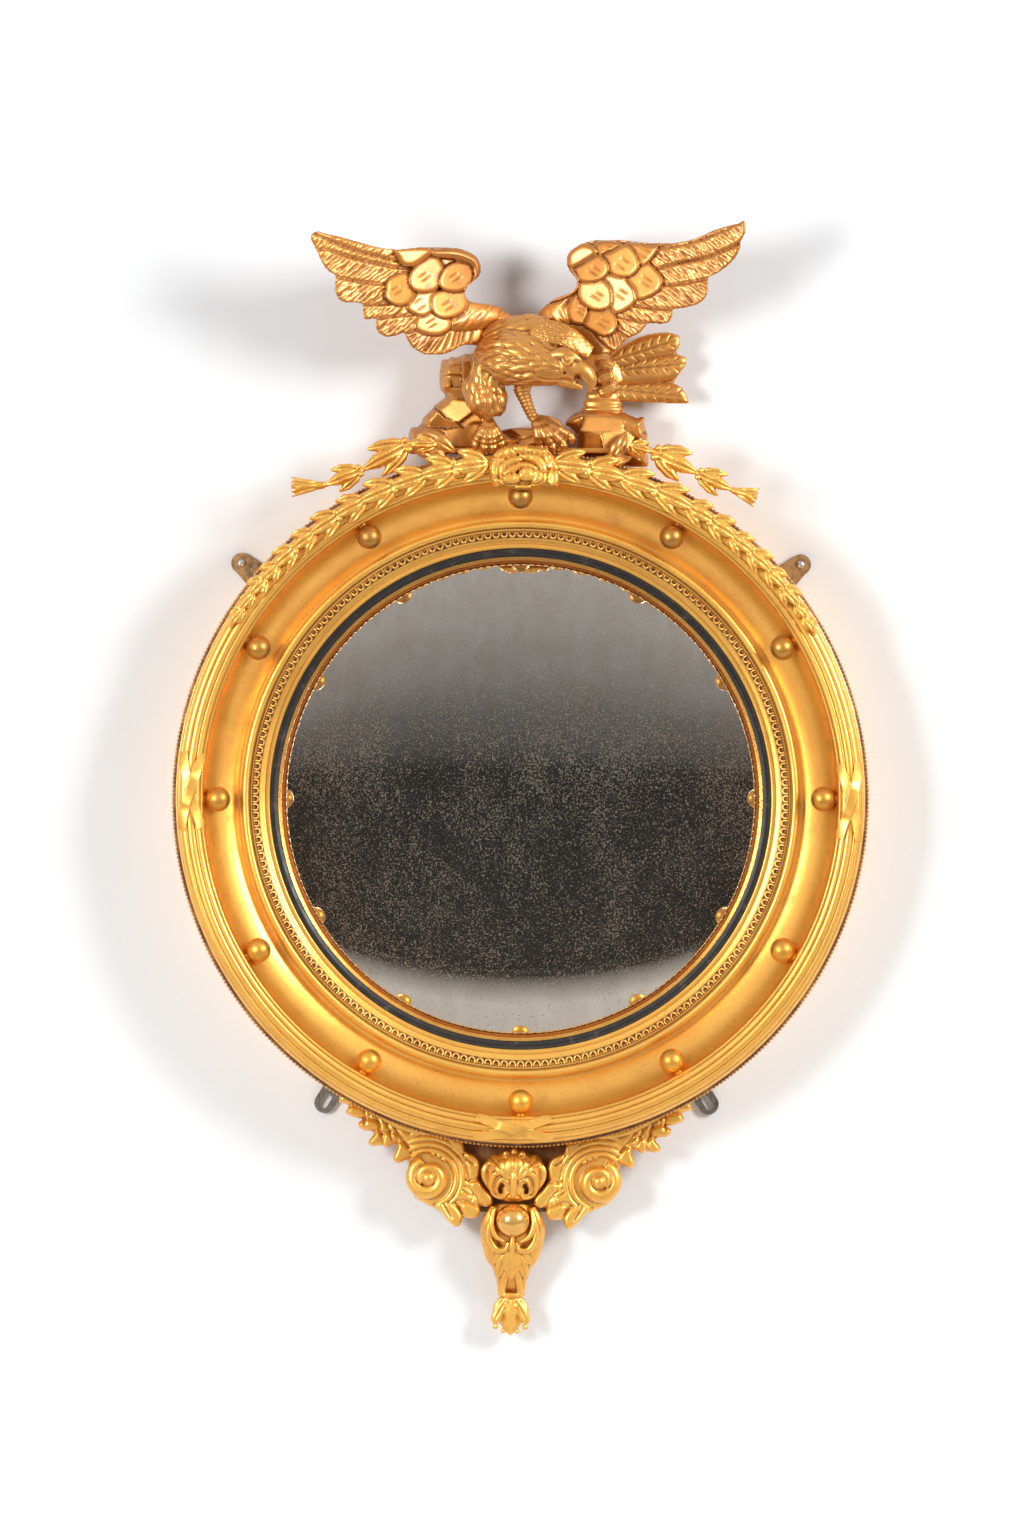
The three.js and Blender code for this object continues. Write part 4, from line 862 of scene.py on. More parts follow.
def slip():
    """The ebonised slip: low beside the glass, so that the glass mirrors the gilding beyond it."""
    inner = SIGHT - SLIP_WIDTH
    lip = SIGHT - FIT
    edge = glass_depth(inner)
    profile = [(REBATE - FIT, GLASS_RIM_DEPTH + FIT), (REBATE - FIT, LIP_BACK - FIT),
               (lip, LIP_BACK - FIT), (lip, edge + 3.6), (lip - 2.6, edge + 3.4),
               (lip - 3.2, edge + 2.6), (lip - 3.8, edge + 2.7), (inner + 0.9, edge + 1.1),
               (inner, edge + 0.8), (inner, edge + 0.4), (GLASS, GLASS_RIM_DEPTH + FIT)]
    piece = turned("slip_ebonised", profile, 360)
    return dressed(piece, ebonised, "ebonised", "ebonised_slip")


# ---- Balls ----------------------------------------------------------------------------------------
def moulding_ball(i):
    """A turned ball on its peg, a little out of true as old ones are."""
    name = f"ball_{i + 1:02d}"
    low, high = node_box(name)
    centre = (low + high) / 2
    shell = Shell()
    ball(shell, centre, BALL_RADIUS, stretch=1 + rng.uniform(-0.012, 0.004, 3), rows=28)
    inward = unit(np.array([centre[0], 0, centre[2]]))
    wall = unit(inward * math.cos(BALL_TURN) - FRONT * math.sin(BALL_TURN))
    limb(shell, [centre + wall * 8, centre + wall * 13.2], [4.2, 4.6], sides=20)
    piece = shell.piece(f"{name}_gilded")
    face_outwards(piece)
    shade_smooth(piece, 60)
    return dressed(piece, ball_leaf, "ball_gilding", name)


# ---- Carving in relief ----------------------------------------------------------------------------
def to_outline(x, z, outline):
    """Distance of points to a closed outline, positive inside it."""
    a, b = outline, np.roll(outline, -1, axis=0)
    dx, dz = (b - a).T
    off_x, off_z = x[..., None] - a[:, 0], z[..., None] - a[:, 1]
    t = np.clip((off_x * dx + off_z * dz) / np.maximum(dx**2 + dz**2, 1e-9), 0, 1)
    near = np.hypot(off_x - t * dx, off_z - t * dz).min(-1)
    spans = (a[:, 1] > z[..., None]) != (b[:, 1] > z[..., None])
    crossing = off_z * dx / np.where(dz == 0, 1e-9, dz)
    inside = (spans & (off_x < crossing)).sum(-1) % 2 == 1
    return np.where(inside, near, -near)


class Relief:
    """A carving in the face of a board: plates laid over each other, and cuts, as a field of heights."""

    def __init__(self, outline, pitch=0.8):
        self.outline = smooth_outline(outline, 3)
        low, high = self.outline.min(0) - pitch, self.outline.max(0) + pitch
        across, up = np.arange(low[0], high[0], pitch), np.arange(low[1], high[1], pitch)
        self.x, self.z = np.meshgrid(across, up, indexing="ij")
        self.rise = np.zeros_like(self.x)
        self.inside = to_outline(self.x, self.z, self.outline)

    def near(self, corners, margin=4.0):
        """The part of the field round some corners."""
        low, high = np.min(corners, axis=0) - margin, np.max(corners, axis=0) + margin
        i = slice(*np.searchsorted(self.x[:, 0], [low[0], high[0]]))
        j = slice(*np.searchsorted(self.z[0], [low[1], high[1]]))
        return i, j

    def plate(self, corners, level, slope=(0.0, 0.0), bulge=1.6, soft=5.0, groove=1.3, rows=3, grow=0.0):
        """A plate with rounded edges, grown by a little; slope is its rise for each millimetre."""
        part = self.near(corners)
        x, z = self.x[part], self.z[part]
        inside = to_outline(x, z, smooth_outline(corners, rows) if rows else np.array(corners, float))
        inside = inside + grow
        middle = np.mean(corners, axis=0)
        face = level + (x - middle[0]) * slope[0] + (z - middle[1]) * slope[1]
        face = face + bulge * (1 - np.clip(1 - inside / soft, 0, 1) ** 2)
        below = self.rise[part] - groove * np.exp(-((inside / 0.9) ** 2))
        self.rise[part] = np.where(inside > 0, face, below)

    def cut(self, start, end, depth, width=0.75):
        """A gouge's cut, deepest in its middle."""
        part = self.near([start, end])
        x, z = self.x[part] - start[0], self.z[part] - start[1]
        dx, dz = end[0] - start[0], end[1] - start[1]
        t = np.clip((x * dx + z * dz) / (dx**2 + dz**2), 0, 1)
        away = np.hypot(x - t * dx, z - t * dz)
        self.rise[part] -= (depth * np.sqrt(np.sin(np.pi * (0.08 + 0.84 * t)))
                            * np.exp(-((away / width) ** 2)))

    def barbs(self, corners, flow, slant, spacing=4.0, depth=1.2):
        """Slanting cuts all over a feather."""
        outline = smooth_outline(corners, 3)
        low, high = outline.min(0), outline.max(0)
        for x in np.arange(low[0], high[0], spacing * 1.5):
            for z in np.arange(low[1], high[1], spacing):
                middle = np.array([x, z]) + rng.uniform(-0.4, 0.4, 2) * spacing
                turn = slant * rng.uniform(0.85, 1.2)
                along = np.array([flow[0] * math.cos(turn), flow[1] - math.sin(turn)])
                reach = rng.uniform(2.8, 5.4)
                if to_outline(*middle, outline) > 1.2:
                    self.cut(middle - along * reach, middle + along * reach,
                             depth * rng.uniform(0.6, 1.1), 0.85)

    def gouges(self, corners, flow, slant=0.45, count=2, reach=6.5, depth=0.8):
        """A few slanting cuts along a scale."""
        along = np.array([flow[0] * math.cos(slant), flow[1] - math.sin(slant)])
        side = np.array([-along[1], along[0]])
        for k in range(count):
            foot = np.mean(corners, axis=0) + side * ((k - (count - 1) / 2) * 6.5 + rng.uniform(-1.5, 1.5))
            self.cut(foot - along * reach * rng.uniform(0.2, 0.6), foot + along * reach, depth)

    def add_to(self, shell, place, back):
        """Adds the board with its carved face; place turns (x, z, rise) into points."""
        solid = self.inside > 0
        cells = solid[:-1, :-1] & solid[1:, :-1] & solid[1:, 1:] & solid[:-1, 1:]
        n, m = self.x.shape
        index = np.arange(n * m).reshape(n, m)
        a, b, c, d = index[:-1, :-1], index[1:, :-1], index[1:, 1:], index[:-1, 1:]
        under = n * m
        quads = [np.stack([a, b, c, d], -1)[cells], np.stack([d, c, b, a], -1)[cells] + under]
        framed = np.pad(cells, 1)
        for edge, beside in (((a, b), framed[1:-1, :-2]), ((b, c), framed[2:, 1:-1]),
                             ((c, d), framed[1:-1, 2:]), ((d, a), framed[:-2, 1:-1])):
            start, end = edge
            rim = cells & ~beside
            quads.append(np.stack([end, start, start + under, end + under], -1)[rim])
        top = np.moveaxis(place(self.x, self.z, self.rise), 0, -1).reshape(-1, 3)
        bottom = np.moveaxis(place(self.x, self.z, np.full_like(self.rise, back)), 0, -1).reshape(-1, 3)
        shell.add(np.vstack([top, bottom]), np.vstack(quads))


# ---- Crest ----------------------------------------------------------------------------------------
def wing_frame(side):
    """How a wing's (x, z, rise) becomes a point, and the way its front faces."""
    way = -1 if side == "left" else 1
    sweep = WING_SWEEP[side]

    def place(x, z, rise=0.0):
        return seen(x, z, WING_ROOT_DEPTH + rise + sweep * (way * x - WING_ROOT))

    return place, unit(np.array([-way * sweep, -1.0, 0.0]))


def wing(side, outline, feathers, scales, skin, arm, knuckle, fan, fan_cuts):
    """Long barbed feathers below, broad scales over their roots and a round arm on top."""
    place, _ = wing_frame(side)
    way = -1 if side == "left" else 1
    flow = (0.95 * way, -0.1)
    relief = Relief(outline)
    relief.plate(fan, FAN_LEVEL)
    for start, end in fan_cuts:
        relief.cut(start, end, 2.0, 0.9)
    for k, corners in enumerate(feathers):
        relief.plate(corners, FEATHER_LEVEL + 0.4 * k, slope=(0.03 * way, 0.05), bulge=1.8, soft=4)
        relief.barbs(corners, flow, 0.6)
    relief.plate(skin, SKIN_LEVEL, slope=(0.02 * way, 0.04), bulge=3.5, soft=12)
    relief.barbs(skin, (0.8 * way, -0.5), 0.4, spacing=7, depth=0.7)
    for k, corners in enumerate(scales):
        relief.plate(corners, SCALE_LEVEL + 0.35 * k,
                     slope=(0.07 * way, -0.05) + rng.uniform(-0.11, 0.11, 2), bulge=1.5, soft=4.5,
                     groove=1.8, grow=1.7)
        relief.gouges(corners, flow)
    relief.plate(arm, ARM_LEVEL, bulge=4.0, soft=7, groove=1.6)
    relief.plate(knuckle, KNUCKLE_LEVEL, bulge=2.6, soft=6, groove=1.6, grow=1.0)
    shell = Shell()
    relief.add_to(shell, place, WING_BACK)
    piece = carved(shell, f"wing_{side}_carved", 0.72)
    return dressed(piece, crest_gold, "crest_gilding", f"eagle_wing_{side}")


def left_wing():
    return wing(
        "left",
        outline=[(-10, 485), (-16, 487), (-20, 492), (-32, 495), (-47, 497), (-54, 501), (-55, 508),
                 (-50, 515), (-42, 522), (-39, 530), (-42, 540), (-49, 546), (-62, 551), (-80, 552),
                 (-101, 552), (-122, 550), (-142, 552), (-160, 557), (-178, 562), (-195, 566),
                 (-204, 568), (-209, 565), (-210, 560), (-205, 550), (-199, 537), (-193, 528),
                 (-185, 523), (-186, 513), (-184, 503), (-178, 497), (-169, 496), (-159, 495),
                 (-158, 488), (-157, 482), (-155, 479), (-145, 480), (-145, 473), (-142, 466),
                 (-134, 462), (-124, 463), (-117, 466), (-114, 460), (-108, 451), (-101, 447),
                 (-94, 444), (-84, 444), (-75, 445), (-66, 449), (-59, 453), (-50, 454), (-38, 454),
                 (-10, 468)],
        feathers=[
            [(-117, 466), (-114, 460), (-108, 451), (-101, 446), (-96, 449), (-83, 463), (-75, 470),
             (-94, 471), (-104, 470)],
            [(-145, 480), (-145, 473), (-142, 466), (-134, 462), (-124, 462), (-114, 466), (-102, 470),
             (-101, 485), (-122, 484), (-136, 482)],
            [(-159, 495), (-158, 488), (-157, 481), (-155, 479), (-145, 480), (-122, 483), (-104, 485),
             (-111, 496), (-136, 495)],
            [(-185, 523), (-187, 513), (-184, 503), (-178, 497), (-169, 495), (-150, 494), (-129, 496),
             (-131, 505), (-135, 515), (-157, 517), (-174, 520)],
            [(-206, 551), (-200, 537), (-193, 528), (-185, 522), (-167, 519), (-150, 516), (-135, 515),
             (-122, 523), (-110, 529), (-131, 533), (-150, 537), (-174, 543), (-192, 550)],
            [(-210, 565), (-210, 560), (-205, 550), (-192, 549), (-174, 543), (-150, 537), (-122, 531),
             (-111, 532), (-122, 538), (-142, 543), (-162, 548), (-184, 556), (-199, 564)],
            [(-205, 568), (-195, 566), (-178, 562), (-160, 557), (-142, 553), (-125, 550), (-122, 538),
             (-142, 543), (-162, 548), (-184, 556), (-201, 563)],
        ],
        scales=[
            [(-104, 471), (-101, 482), (-90, 486), (-79, 485), (-71, 478), (-72, 470), (-82, 465),
             (-94, 466)],
            [(-112, 491), (-108, 499), (-101, 506), (-85, 508), (-87, 491), (-97, 484), (-105, 486)],
            [(-133, 510), (-131, 519), (-119, 525), (-112, 524), (-108, 515), (-107, 505), (-112, 497),
             (-122, 495), (-131, 499), (-134, 505)],
            [(-88, 498), (-85, 505), (-72, 509), (-55, 508), (-54, 499), (-56, 490), (-65, 484),
             (-77, 482), (-86, 487)],
            [(-110, 523), (-106, 530), (-96, 538), (-85, 542), (-79, 534), (-77, 527), (-81, 516),
             (-86, 510), (-97, 508), (-106, 510), (-110, 516)],
            [(-80, 520), (-75, 530), (-67, 535), (-58, 536), (-49, 533), (-47, 524), (-50, 516),
             (-59, 509), (-72, 509), (-79, 513)],
        ],
        skin=[(-10, 485), (-16, 487), (-20, 492), (-32, 495), (-47, 497), (-54, 499), (-59, 488),
              (-72, 480), (-72, 470), (-55, 468), (-35, 471), (-10, 473)],
        arm=[(-89, 549), (-80, 551), (-62, 551), (-48, 546), (-41, 540), (-39, 530), (-42, 521), (-50, 514),
             (-55, 507), (-56, 510), (-50, 516), (-47, 524), (-49, 533), (-57, 537), (-69, 540), (-80, 541),
             (-88, 543)],
        knuckle=[(-125, 549), (-111, 551), (-94, 551), (-89, 547), (-91, 544), (-100, 537), (-108, 533),
                 (-117, 534), (-122, 541)],
        fan=[(-39, 473), (-72, 470), (-83, 463), (-94, 449), (-101, 447), (-94, 444), (-84, 443),
             (-75, 445), (-66, 448), (-59, 452), (-50, 454), (-38, 454)],
        fan_cuts=[((-56, 469), (-58, 456)), ((-64, 468), (-68, 452)), ((-70, 466), (-77, 448)),
                  ((-76, 464), (-86, 447)), ((-80, 462), (-92, 447)), ((-48, 468), (-50, 457)),
                  ((-60, 469), (-63, 454))],
    )


def right_wing():
    return wing(
        "right",
        outline=[(10, 478), (16, 484), (24, 493), (37, 502), (49, 506), (54, 510), (56, 516), (54, 522),
                 (48, 529), (46, 537), (47, 544), (52, 550), (62, 556), (74, 559), (86, 559),
                 (103, 559), (121, 557), (139, 556), (149, 556), (164, 558), (178, 562), (193, 569),
                 (209, 574), (218, 576), (223, 579), (225, 577), (225, 566), (221, 558), (220, 551),
                 (215, 541), (205, 531), (194, 524), (188, 521), (188, 512), (186, 503), (180, 496),
                 (169, 492), (158, 490), (153, 489), (152, 483), (149, 477), (142, 475), (128, 475),
                 (124, 471), (118, 465), (109, 461), (105, 458), (99, 451), (94, 447), (87, 446),
                 (73, 443), (65, 453), (54, 462), (39, 469), (21, 471), (10, 472)],
        feathers=[
            [(92, 481), (96, 485), (106, 482), (118, 479), (127, 476), (123, 469), (117, 464), (109, 461),
             (102, 465), (94, 470)],
            [(94, 485), (111, 494), (124, 492), (136, 491), (153, 489), (152, 482), (149, 476), (142, 475),
             (127, 476), (112, 479), (98, 482)],
            [(109, 494), (118, 501), (127, 504), (140, 514), (150, 514), (165, 516), (177, 519),
             (188, 521), (188, 512), (187, 503), (180, 495), (170, 492), (158, 490), (142, 490),
             (124, 492)],
            [(134, 530), (149, 534), (171, 538), (186, 542), (205, 550), (221, 555), (220, 550),
             (215, 541), (205, 531), (195, 523), (188, 520), (177, 518), (165, 516), (150, 514),
             (140, 514), (138, 522)],
            [(137, 551), (149, 555), (164, 558), (178, 563), (193, 569), (209, 574), (221, 577),
             (208, 570), (193, 563), (178, 558), (164, 554), (149, 551)],
            [(124, 533), (131, 543), (137, 550), (149, 552), (165, 555), (178, 558), (193, 564),
             (208, 571), (223, 579), (225, 577), (225, 566), (221, 558), (206, 550), (186, 542),
             (171, 539), (149, 534), (134, 530)],
        ],
        scales=[
            [(48, 491), (51, 500), (57, 507), (62, 500), (68, 493), (70, 484), (66, 478), (58, 476),
             (51, 479)],
            [(65, 474), (68, 483), (70, 492), (80, 492), (90, 493), (93, 485), (95, 477), (93, 469),
             (87, 465), (80, 465), (73, 469)],
            [(83, 521), (92, 525), (101, 524), (110, 518), (115, 510), (116, 503), (111, 495), (104, 490),
             (96, 487), (91, 491), (90, 503), (88, 514)],
            [(109, 522), (118, 531), (125, 536), (134, 529), (140, 521), (139, 512), (132, 506),
             (118, 501), (115, 510), (108, 519)],
            [(58, 506), (60, 517), (68, 519), (80, 519), (88, 512), (90, 503), (89, 494), (81, 490),
             (71, 491), (62, 497)],
            [(105, 553), (112, 555), (125, 552), (136, 552), (132, 544), (124, 536), (120, 536),
             (114, 545)],
            [(74, 551), (76, 555), (86, 557), (98, 555), (101, 552), (93, 548), (81, 544), (77, 547)],
            [(85, 538), (83, 543), (92, 547), (104, 553), (111, 549), (116, 540), (117, 532), (111, 525),
             (103, 523), (93, 525), (87, 531)],
            [(51, 531), (65, 537), (74, 543), (83, 540), (87, 532), (85, 525), (78, 520), (68, 518),
             (58, 520)],
        ],
        skin=[(10, 478), (16, 484), (24, 493), (37, 502), (49, 506), (58, 507), (54, 500), (48, 491),
              (51, 478), (39, 469), (21, 471), (10, 472)],
        arm=[(12, 494), (38, 502), (54, 510), (56, 520), (47, 532), (46, 540), (50, 534), (58, 520),
             (56, 508), (38, 498)],
        knuckle=[(47, 537), (47, 544), (52, 550), (62, 555), (73, 552), (75, 545), (65, 538), (51, 531)],
        fan=[(73, 466), (86, 465), (95, 469), (106, 462), (105, 458), (99, 451), (94, 447), (86, 452)],
        fan_cuts=[((87, 464), (90, 455)), ((90, 466), (94, 453)), ((94, 467), (98, 453)),
                  ((97, 467), (101, 455))],
    )


def plumage(shell, points, radii, rows, angles, length, half, around, squash=1.0, facing=FRONT, thick=2.6):
    """Rows of pointed feathers round a limb; each row lies over the roots of the row behind."""
    steps = 60
    place, along = spline(points, steps)
    side = unit(np.cross(along, facing))
    up = np.cross(side, along)

    def on(t, a, proud):
        i = int(np.clip(t, 0, 1) * steps)
        radius = np.interp(t * (len(radii) - 1), np.arange(len(radii)), radii) + proud
        out = side[i] * math.cos(a) + up[i] * math.sin(a) * squash
        return place[i] + out * radius, unit(out)

    for row in range(rows):
        root = (row + 1) / rows
        for k in range(around):
            share = (k + 0.5 * (row % 2) + rng.uniform(-0.15, 0.15)) / (around - 0.5)
            a = math.radians(angles[0] + (angles[1] - angles[0]) * share)
            reach = length * rng.uniform(0.85, 1.25)
            drift = rng.uniform(-0.08, 0.08)
            path = [on(root, a, -1.5)[0], on(root - reach * 0.5, a + drift, 0.6)[0],
                    on(root - reach, a + 2 * drift, 1.6)[0]]
            blade(shell, path, half * rng.uniform(0.8, 1.15), thick, leaf_form,
                  on(root - reach * 0.5, a, 0)[1], under=3, rib=0.5, comb=0.5, combs=3)


def eagle_body():
    shell = Shell()
    back = [seen(-34, 452, 58), seen(-4, 461, 60), seen(24, 460, 64)]
    back_radii = [15, 21, 20]
    limb(shell, back, back_radii, squash=0.9)
    neck = [seen(-34, 442, 68), seen(-6, 441, 78), seen(22, 436, 86), seen(44, 429, 93)]
    neck_radii = [16, 25, 24, 19, 14]
    limb(shell, neck, neck_radii, squash=0.95)
    breast = [seen(-22, 450, 66), seen(-32, 428, 66), seen(-32, 402, 66)]
    breast_radii = [18, 17, 14]
    limb(shell, breast, breast_radii, squash=0.9)
    limb(shell, [seen(10, 430, 62), seen(3, 416, 64), seen(2, 406, 66)], [14, 10, 7])
    plumage(shell, breast, breast_radii, 5, (20, 160), 0.46, 4.2, 6, squash=0.9)
    plumage(shell, back[::-1], back_radii[::-1], 5, (10, 120), 0.42, 4.6, 6, squash=0.9)
    plumage(shell, neck, neck_radii, 8, (-5, 178), 0.27, 4.4, 9, squash=0.95)
    shoulder_feather(shell)
    eagle_head(shell)
    piece = carved(shell, "eagle_body_carved", 0.8,
                   dents=[(seen(56.5, 421, 104), 3.6, 9), (seen(44, 426, 106), 1.6, 3)])
    return dressed(piece, body_gold, "crest_gilding", "eagle_body")


def shoulder_feather(shell):
    """The broad leaf of small feathers that covers the joint of the far wing."""
    facing = unit(np.array([0.1, -1.0, 0.35]))
    points = [seen(70, 446, 86), seen(42, 464, 92), seen(9, 468, 89)]
    blade(shell, points, 15, 5, lobe_form, facing, under=10, comb=2.2, combs=5, groove=1.2, pitch=8,
          lean=2.5, cup=1.6)


def eagle_head(shell):
    limb(shell, [seen(28, 436, 90), seen(46, 433, 95), seen(60, 425, 98)], [16, 15.5, 10], squash=0.85)
    limb(shell, [seen(50, 432, 98), seen(63, 428, 99), seen(70, 418, 98), seen(69, 407, 96)],
         [11, 9.5, 6.5, 1.6], squash=0.8)
    limb(shell, [seen(40, 420, 92), seen(52, 415, 95), seen(62, 411, 96)], [8, 5.5, 2.6], squash=0.9)
    brow = unit(np.array([0.15, -1.0, 0.3]))
    blade(shell, [seen(28, 444, 103), seen(46, 446, 107), seen(62, 438, 105)], 6, 3.5, leaf_form, brow,
          under=4)
    eye = seen(47.5, 440, 108.5)
    ring = [eye + 5.2 * np.array([math.cos(a), -0.15 * math.cos(a), math.sin(a)])
            for a in np.linspace(0, 2 * np.pi, 10)]
    limb(shell, ring, [1.7, 1.7], sides=12)
    ball(shell, eye, 3.2, rows=8)


def toes(shell, ankle, tips, radius, knuckle=5.0):
    """Long toes fanned out from an ankle, ringed, with a claw at each end."""
    for tip in tips:
        middle = ankle + (tip - ankle) * 0.55 - at(0, 0, -knuckle)
        limb(shell, [ankle, middle, tip], [radius * 0.8, radius, radius * 0.9], bands=5, band=0.35,
             sides=20)
        ball(shell, tip - at(0, 1.5, 0), radius * 0.95, stretch=(0.9, 1.1, 0.8), rows=8)
        limb(shell, [tip, tip + at(0, -4, 2), tip + at(0, -8, -1)], [radius * 0.6, radius * 0.5, 0.8],
             sides=12)


def left_leg():
    shell = Shell()
    thigh = [seen(-38, 412, 64), seen(-32, 396, 68), seen(-30, 384, 68)]
    limb(shell, thigh, [15, 18, 12], squash=0.85)
    plumage(shell, [seen(-36, 420, 64), *thigh][::-1], [9, 17.5, 18, 15], 5, (-10, 190), 0.5, 5.0, 8,
            squash=0.85)
    ankle = seen(-31, 379, 68)
    toes(shell, ankle, [seen(-45, 356, 69), seen(-36, 353, 73), seen(-27, 353, 74), seen(-19, 357, 70)],
         5.2)
    piece = carved(shell, "leg_left_carved", 0.8)
    return dressed(piece, body_gold, "crest_gilding", "eagle_leg_left")


def right_leg():
    shell = Shell()
    limb(shell, [seen(0, 412, 66), seen(6, 396, 67), seen(13, 380, 68)], [8, 6, 4.8], bands=9, band=0.8)
    ankle = seen(14, 381, 68)
    toes(shell, ankle, [seen(20, 353, 70), seen(32, 353, 74), seen(43, 355, 74), seen(51, 362, 70)],
         5.4, knuckle=6)
    blade(shell, [ankle, seen(27, 370, 68), seen(38, 356, 68)], 14, 3, petal_form, under=5, comb=1.0,
          combs=4)
    piece = carved(shell, "leg_right_carved", 0.8)
    return dressed(piece, body_gold, "crest_gilding", "eagle_leg_right")


def boulder(shell, x, z, depth, half_x, half_z, half_depth, corners=15):
    """A rough stone: the hull of points scattered over a box with blunt corners."""
    spread = rng.normal(size=(corners, 3))
    spread /= (np.abs(spread).max(axis=1, keepdims=True) ** 0.75
               * np.linalg.norm(spread, axis=1, keepdims=True) ** 0.25)
    points = seen(x, z, depth) + np.clip(spread, -1, 1) * np.array([half_x, half_depth, half_z])
    work = bmesh.new()
    made = [work.verts.new(point) for point in points]
    hull = bmesh.ops.convex_hull(work, input=made)
    inner = [v for v in hull["geom_interior"] if isinstance(v, bmesh.types.BMVert)]
    bmesh.ops.delete(work, geom=inner, context="VERTS")
    bmesh.ops.triangulate(work, faces=work.faces)
    work.verts.index_update()
    shell.add([v.co[:] for v in work.verts], np.zeros((0, 4)),
              [[v.index for v in face.verts] for face in work.faces])
    work.free()


ROCK_BACK = 14.0  # where a rock starts, from the wall
ROCK_DEPTH = 36.0
ROCK_DOME = 13.0  # rise of its middle over its edge
ROCK_EDGE = 9.0  # width of the rounded edge


def rock(name, node, outline, facets, leaves=()):
    """A worn rock: chiselled facets on one rounded mass."""
    relief = Relief(outline, pitch=1.0)
    for corners in facets:
        slope = rng.uniform(-0.45, 0.45, 2)
        relief.plate(corners, rng.uniform(9, 12.5), slope=slope, bulge=0.6, soft=1.5, groove=0.3,
                     rows=1, grow=2.4)
    relief.rise += ROCK_DOME * (1 - np.clip(1 - relief.inside / ROCK_EDGE, 0, 1) ** 2) - ROCK_DOME
    shell = Shell()
    relief.add_to(shell, lambda x, z, rise: seen(x, z, ROCK_DEPTH + rise), ROCK_BACK - ROCK_DEPTH)
    for points, half in leaves:
        blade(shell, [seen(*point) for point in points], half, 4, leaf_form, under=5, vein=1.5, groove=0.8)
    piece = carved(shell, name, 0.9, soften=3)
    return dressed(piece, body_gold, "crest_gilding", node)


def left_rock():
    return rock(
        "rock_left_carved", "rock_left",
        outline=[(-46, 446), (-50, 445), (-56, 446), (-59, 444), (-64, 442), (-70, 443), (-72, 440),
                 (-79, 439), (-81, 429), (-81, 419), (-81, 411), (-79, 407), (-75, 403), (-81, 398),
                 (-86, 394), (-91, 388), (-97, 382), (-101, 374), (-110, 371), (-112, 366), (-112, 360),
                 (-113, 351), (-113, 345), (-46, 345), (-31, 346), (-29, 371), (-38, 404), (-41, 429)],
        facets=[
            [(-112, 360), (-77, 361), (-74, 346), (-113, 346)],
            [(-110, 371), (-96, 372), (-74, 371), (-77, 361), (-111, 360)],
            [(-74, 371), (-57, 373), (-46, 379), (-31, 378), (-31, 347), (-54, 347), (-74, 354)],
            [(-85, 393), (-77, 384), (-62, 374), (-74, 372), (-96, 374), (-101, 376), (-97, 382),
             (-91, 388)],
            [(-62, 384), (-49, 389), (-38, 396), (-31, 379), (-46, 379), (-57, 374), (-62, 377)],
            [(-75, 402), (-54, 400), (-50, 388), (-62, 379), (-74, 383), (-85, 393)],
            [(-80, 413), (-67, 413), (-54, 413), (-43, 414), (-41, 401), (-54, 401), (-74, 404)],
            [(-80, 425), (-71, 425), (-69, 415), (-80, 413)],
            [(-69, 425), (-57, 425), (-57, 414), (-67, 414)],
            [(-79, 439), (-72, 440), (-71, 427), (-80, 427)],
            [(-70, 443), (-63, 442), (-57, 443), (-57, 427), (-70, 427)],
            [(-56, 446), (-46, 446), (-43, 429), (-43, 416), (-56, 419)],
        ],
        leaves=[([(-98, 366, 52), (-82, 358, 58), (-64, 346, 56)], 9),
                ([(-106, 350, 50), (-88, 346, 58), (-70, 334, 56)], 8)],
    )


def right_rock():
    return rock(
        "rock_right_carved", "rock_right",
        outline=[(44, 375), (48, 382), (59, 388), (73, 390), (90, 389), (103, 387), (115, 382), (124, 382),
                 (125, 373), (128, 363), (126, 356), (128, 344), (127, 332), (109, 332), (96, 334),
                 (86, 342), (56, 342), (57, 360), (52, 369)],
        facets=[
            [(56, 365), (80, 367), (82, 344), (56, 343)],
            [(82, 367), (105, 370), (115, 361), (109, 352), (100, 335), (86, 343)],
            [(117, 361), (128, 363), (127, 355), (128, 344), (128, 332), (101, 334), (111, 350)],
            [(61, 388), (90, 389), (103, 387), (105, 373), (80, 369), (59, 369)],
            [(105, 385), (125, 382), (125, 372), (117, 363), (106, 371)],
            [(44, 375), (49, 382), (60, 385), (61, 379), (56, 367)],
        ],
        leaves=[([(88, 336, 56), (98, 352, 60), (106, 368, 54)], 8),
                ([(88, 340, 58), (96, 338, 62), (112, 342, 54)], 6)],
    )


def crest_base():
    shell = Shell()
    low, high = node_box("crest_base")
    front = -low[1]
    for x, z, depth, *halves in [
        (-18, 358, 44, 22, 11, 12), (14, 358, 46, 18, 9, 11), (34, 356, 46, 12, 8, 11),
        (-34, 366, 40, 11, 10, 14), (0, 362, 34, 26, 12, 18), (30, 364, 34, 14, 10, 16),
    ]:
        boulder(shell, x, z, depth, *halves)
    outline = [(low[0] + 1, 345.5), (low[0] + 1, 351.5), (high[0] - 1, 351.5), (high[0] - 1, 345.5),
               (60, 346), (0, 348), (-60, 346)]
    edge = 13.0
    shell.slab(outline, lambda x, z: at(x, z, front - 6), lambda x, z: at(x, z, edge))
    piece = carved(shell, "crest_base_carved", 0.9, soften=1)
    return dressed(piece, base_gold, "crest_gilding", "crest_base")


TAIL_DEPTH = 27.0  # from the wall to its lowest feather
TAIL_THICK = 6.0
TAIL_STEP = 1.2  # each feather lies this much over the one before


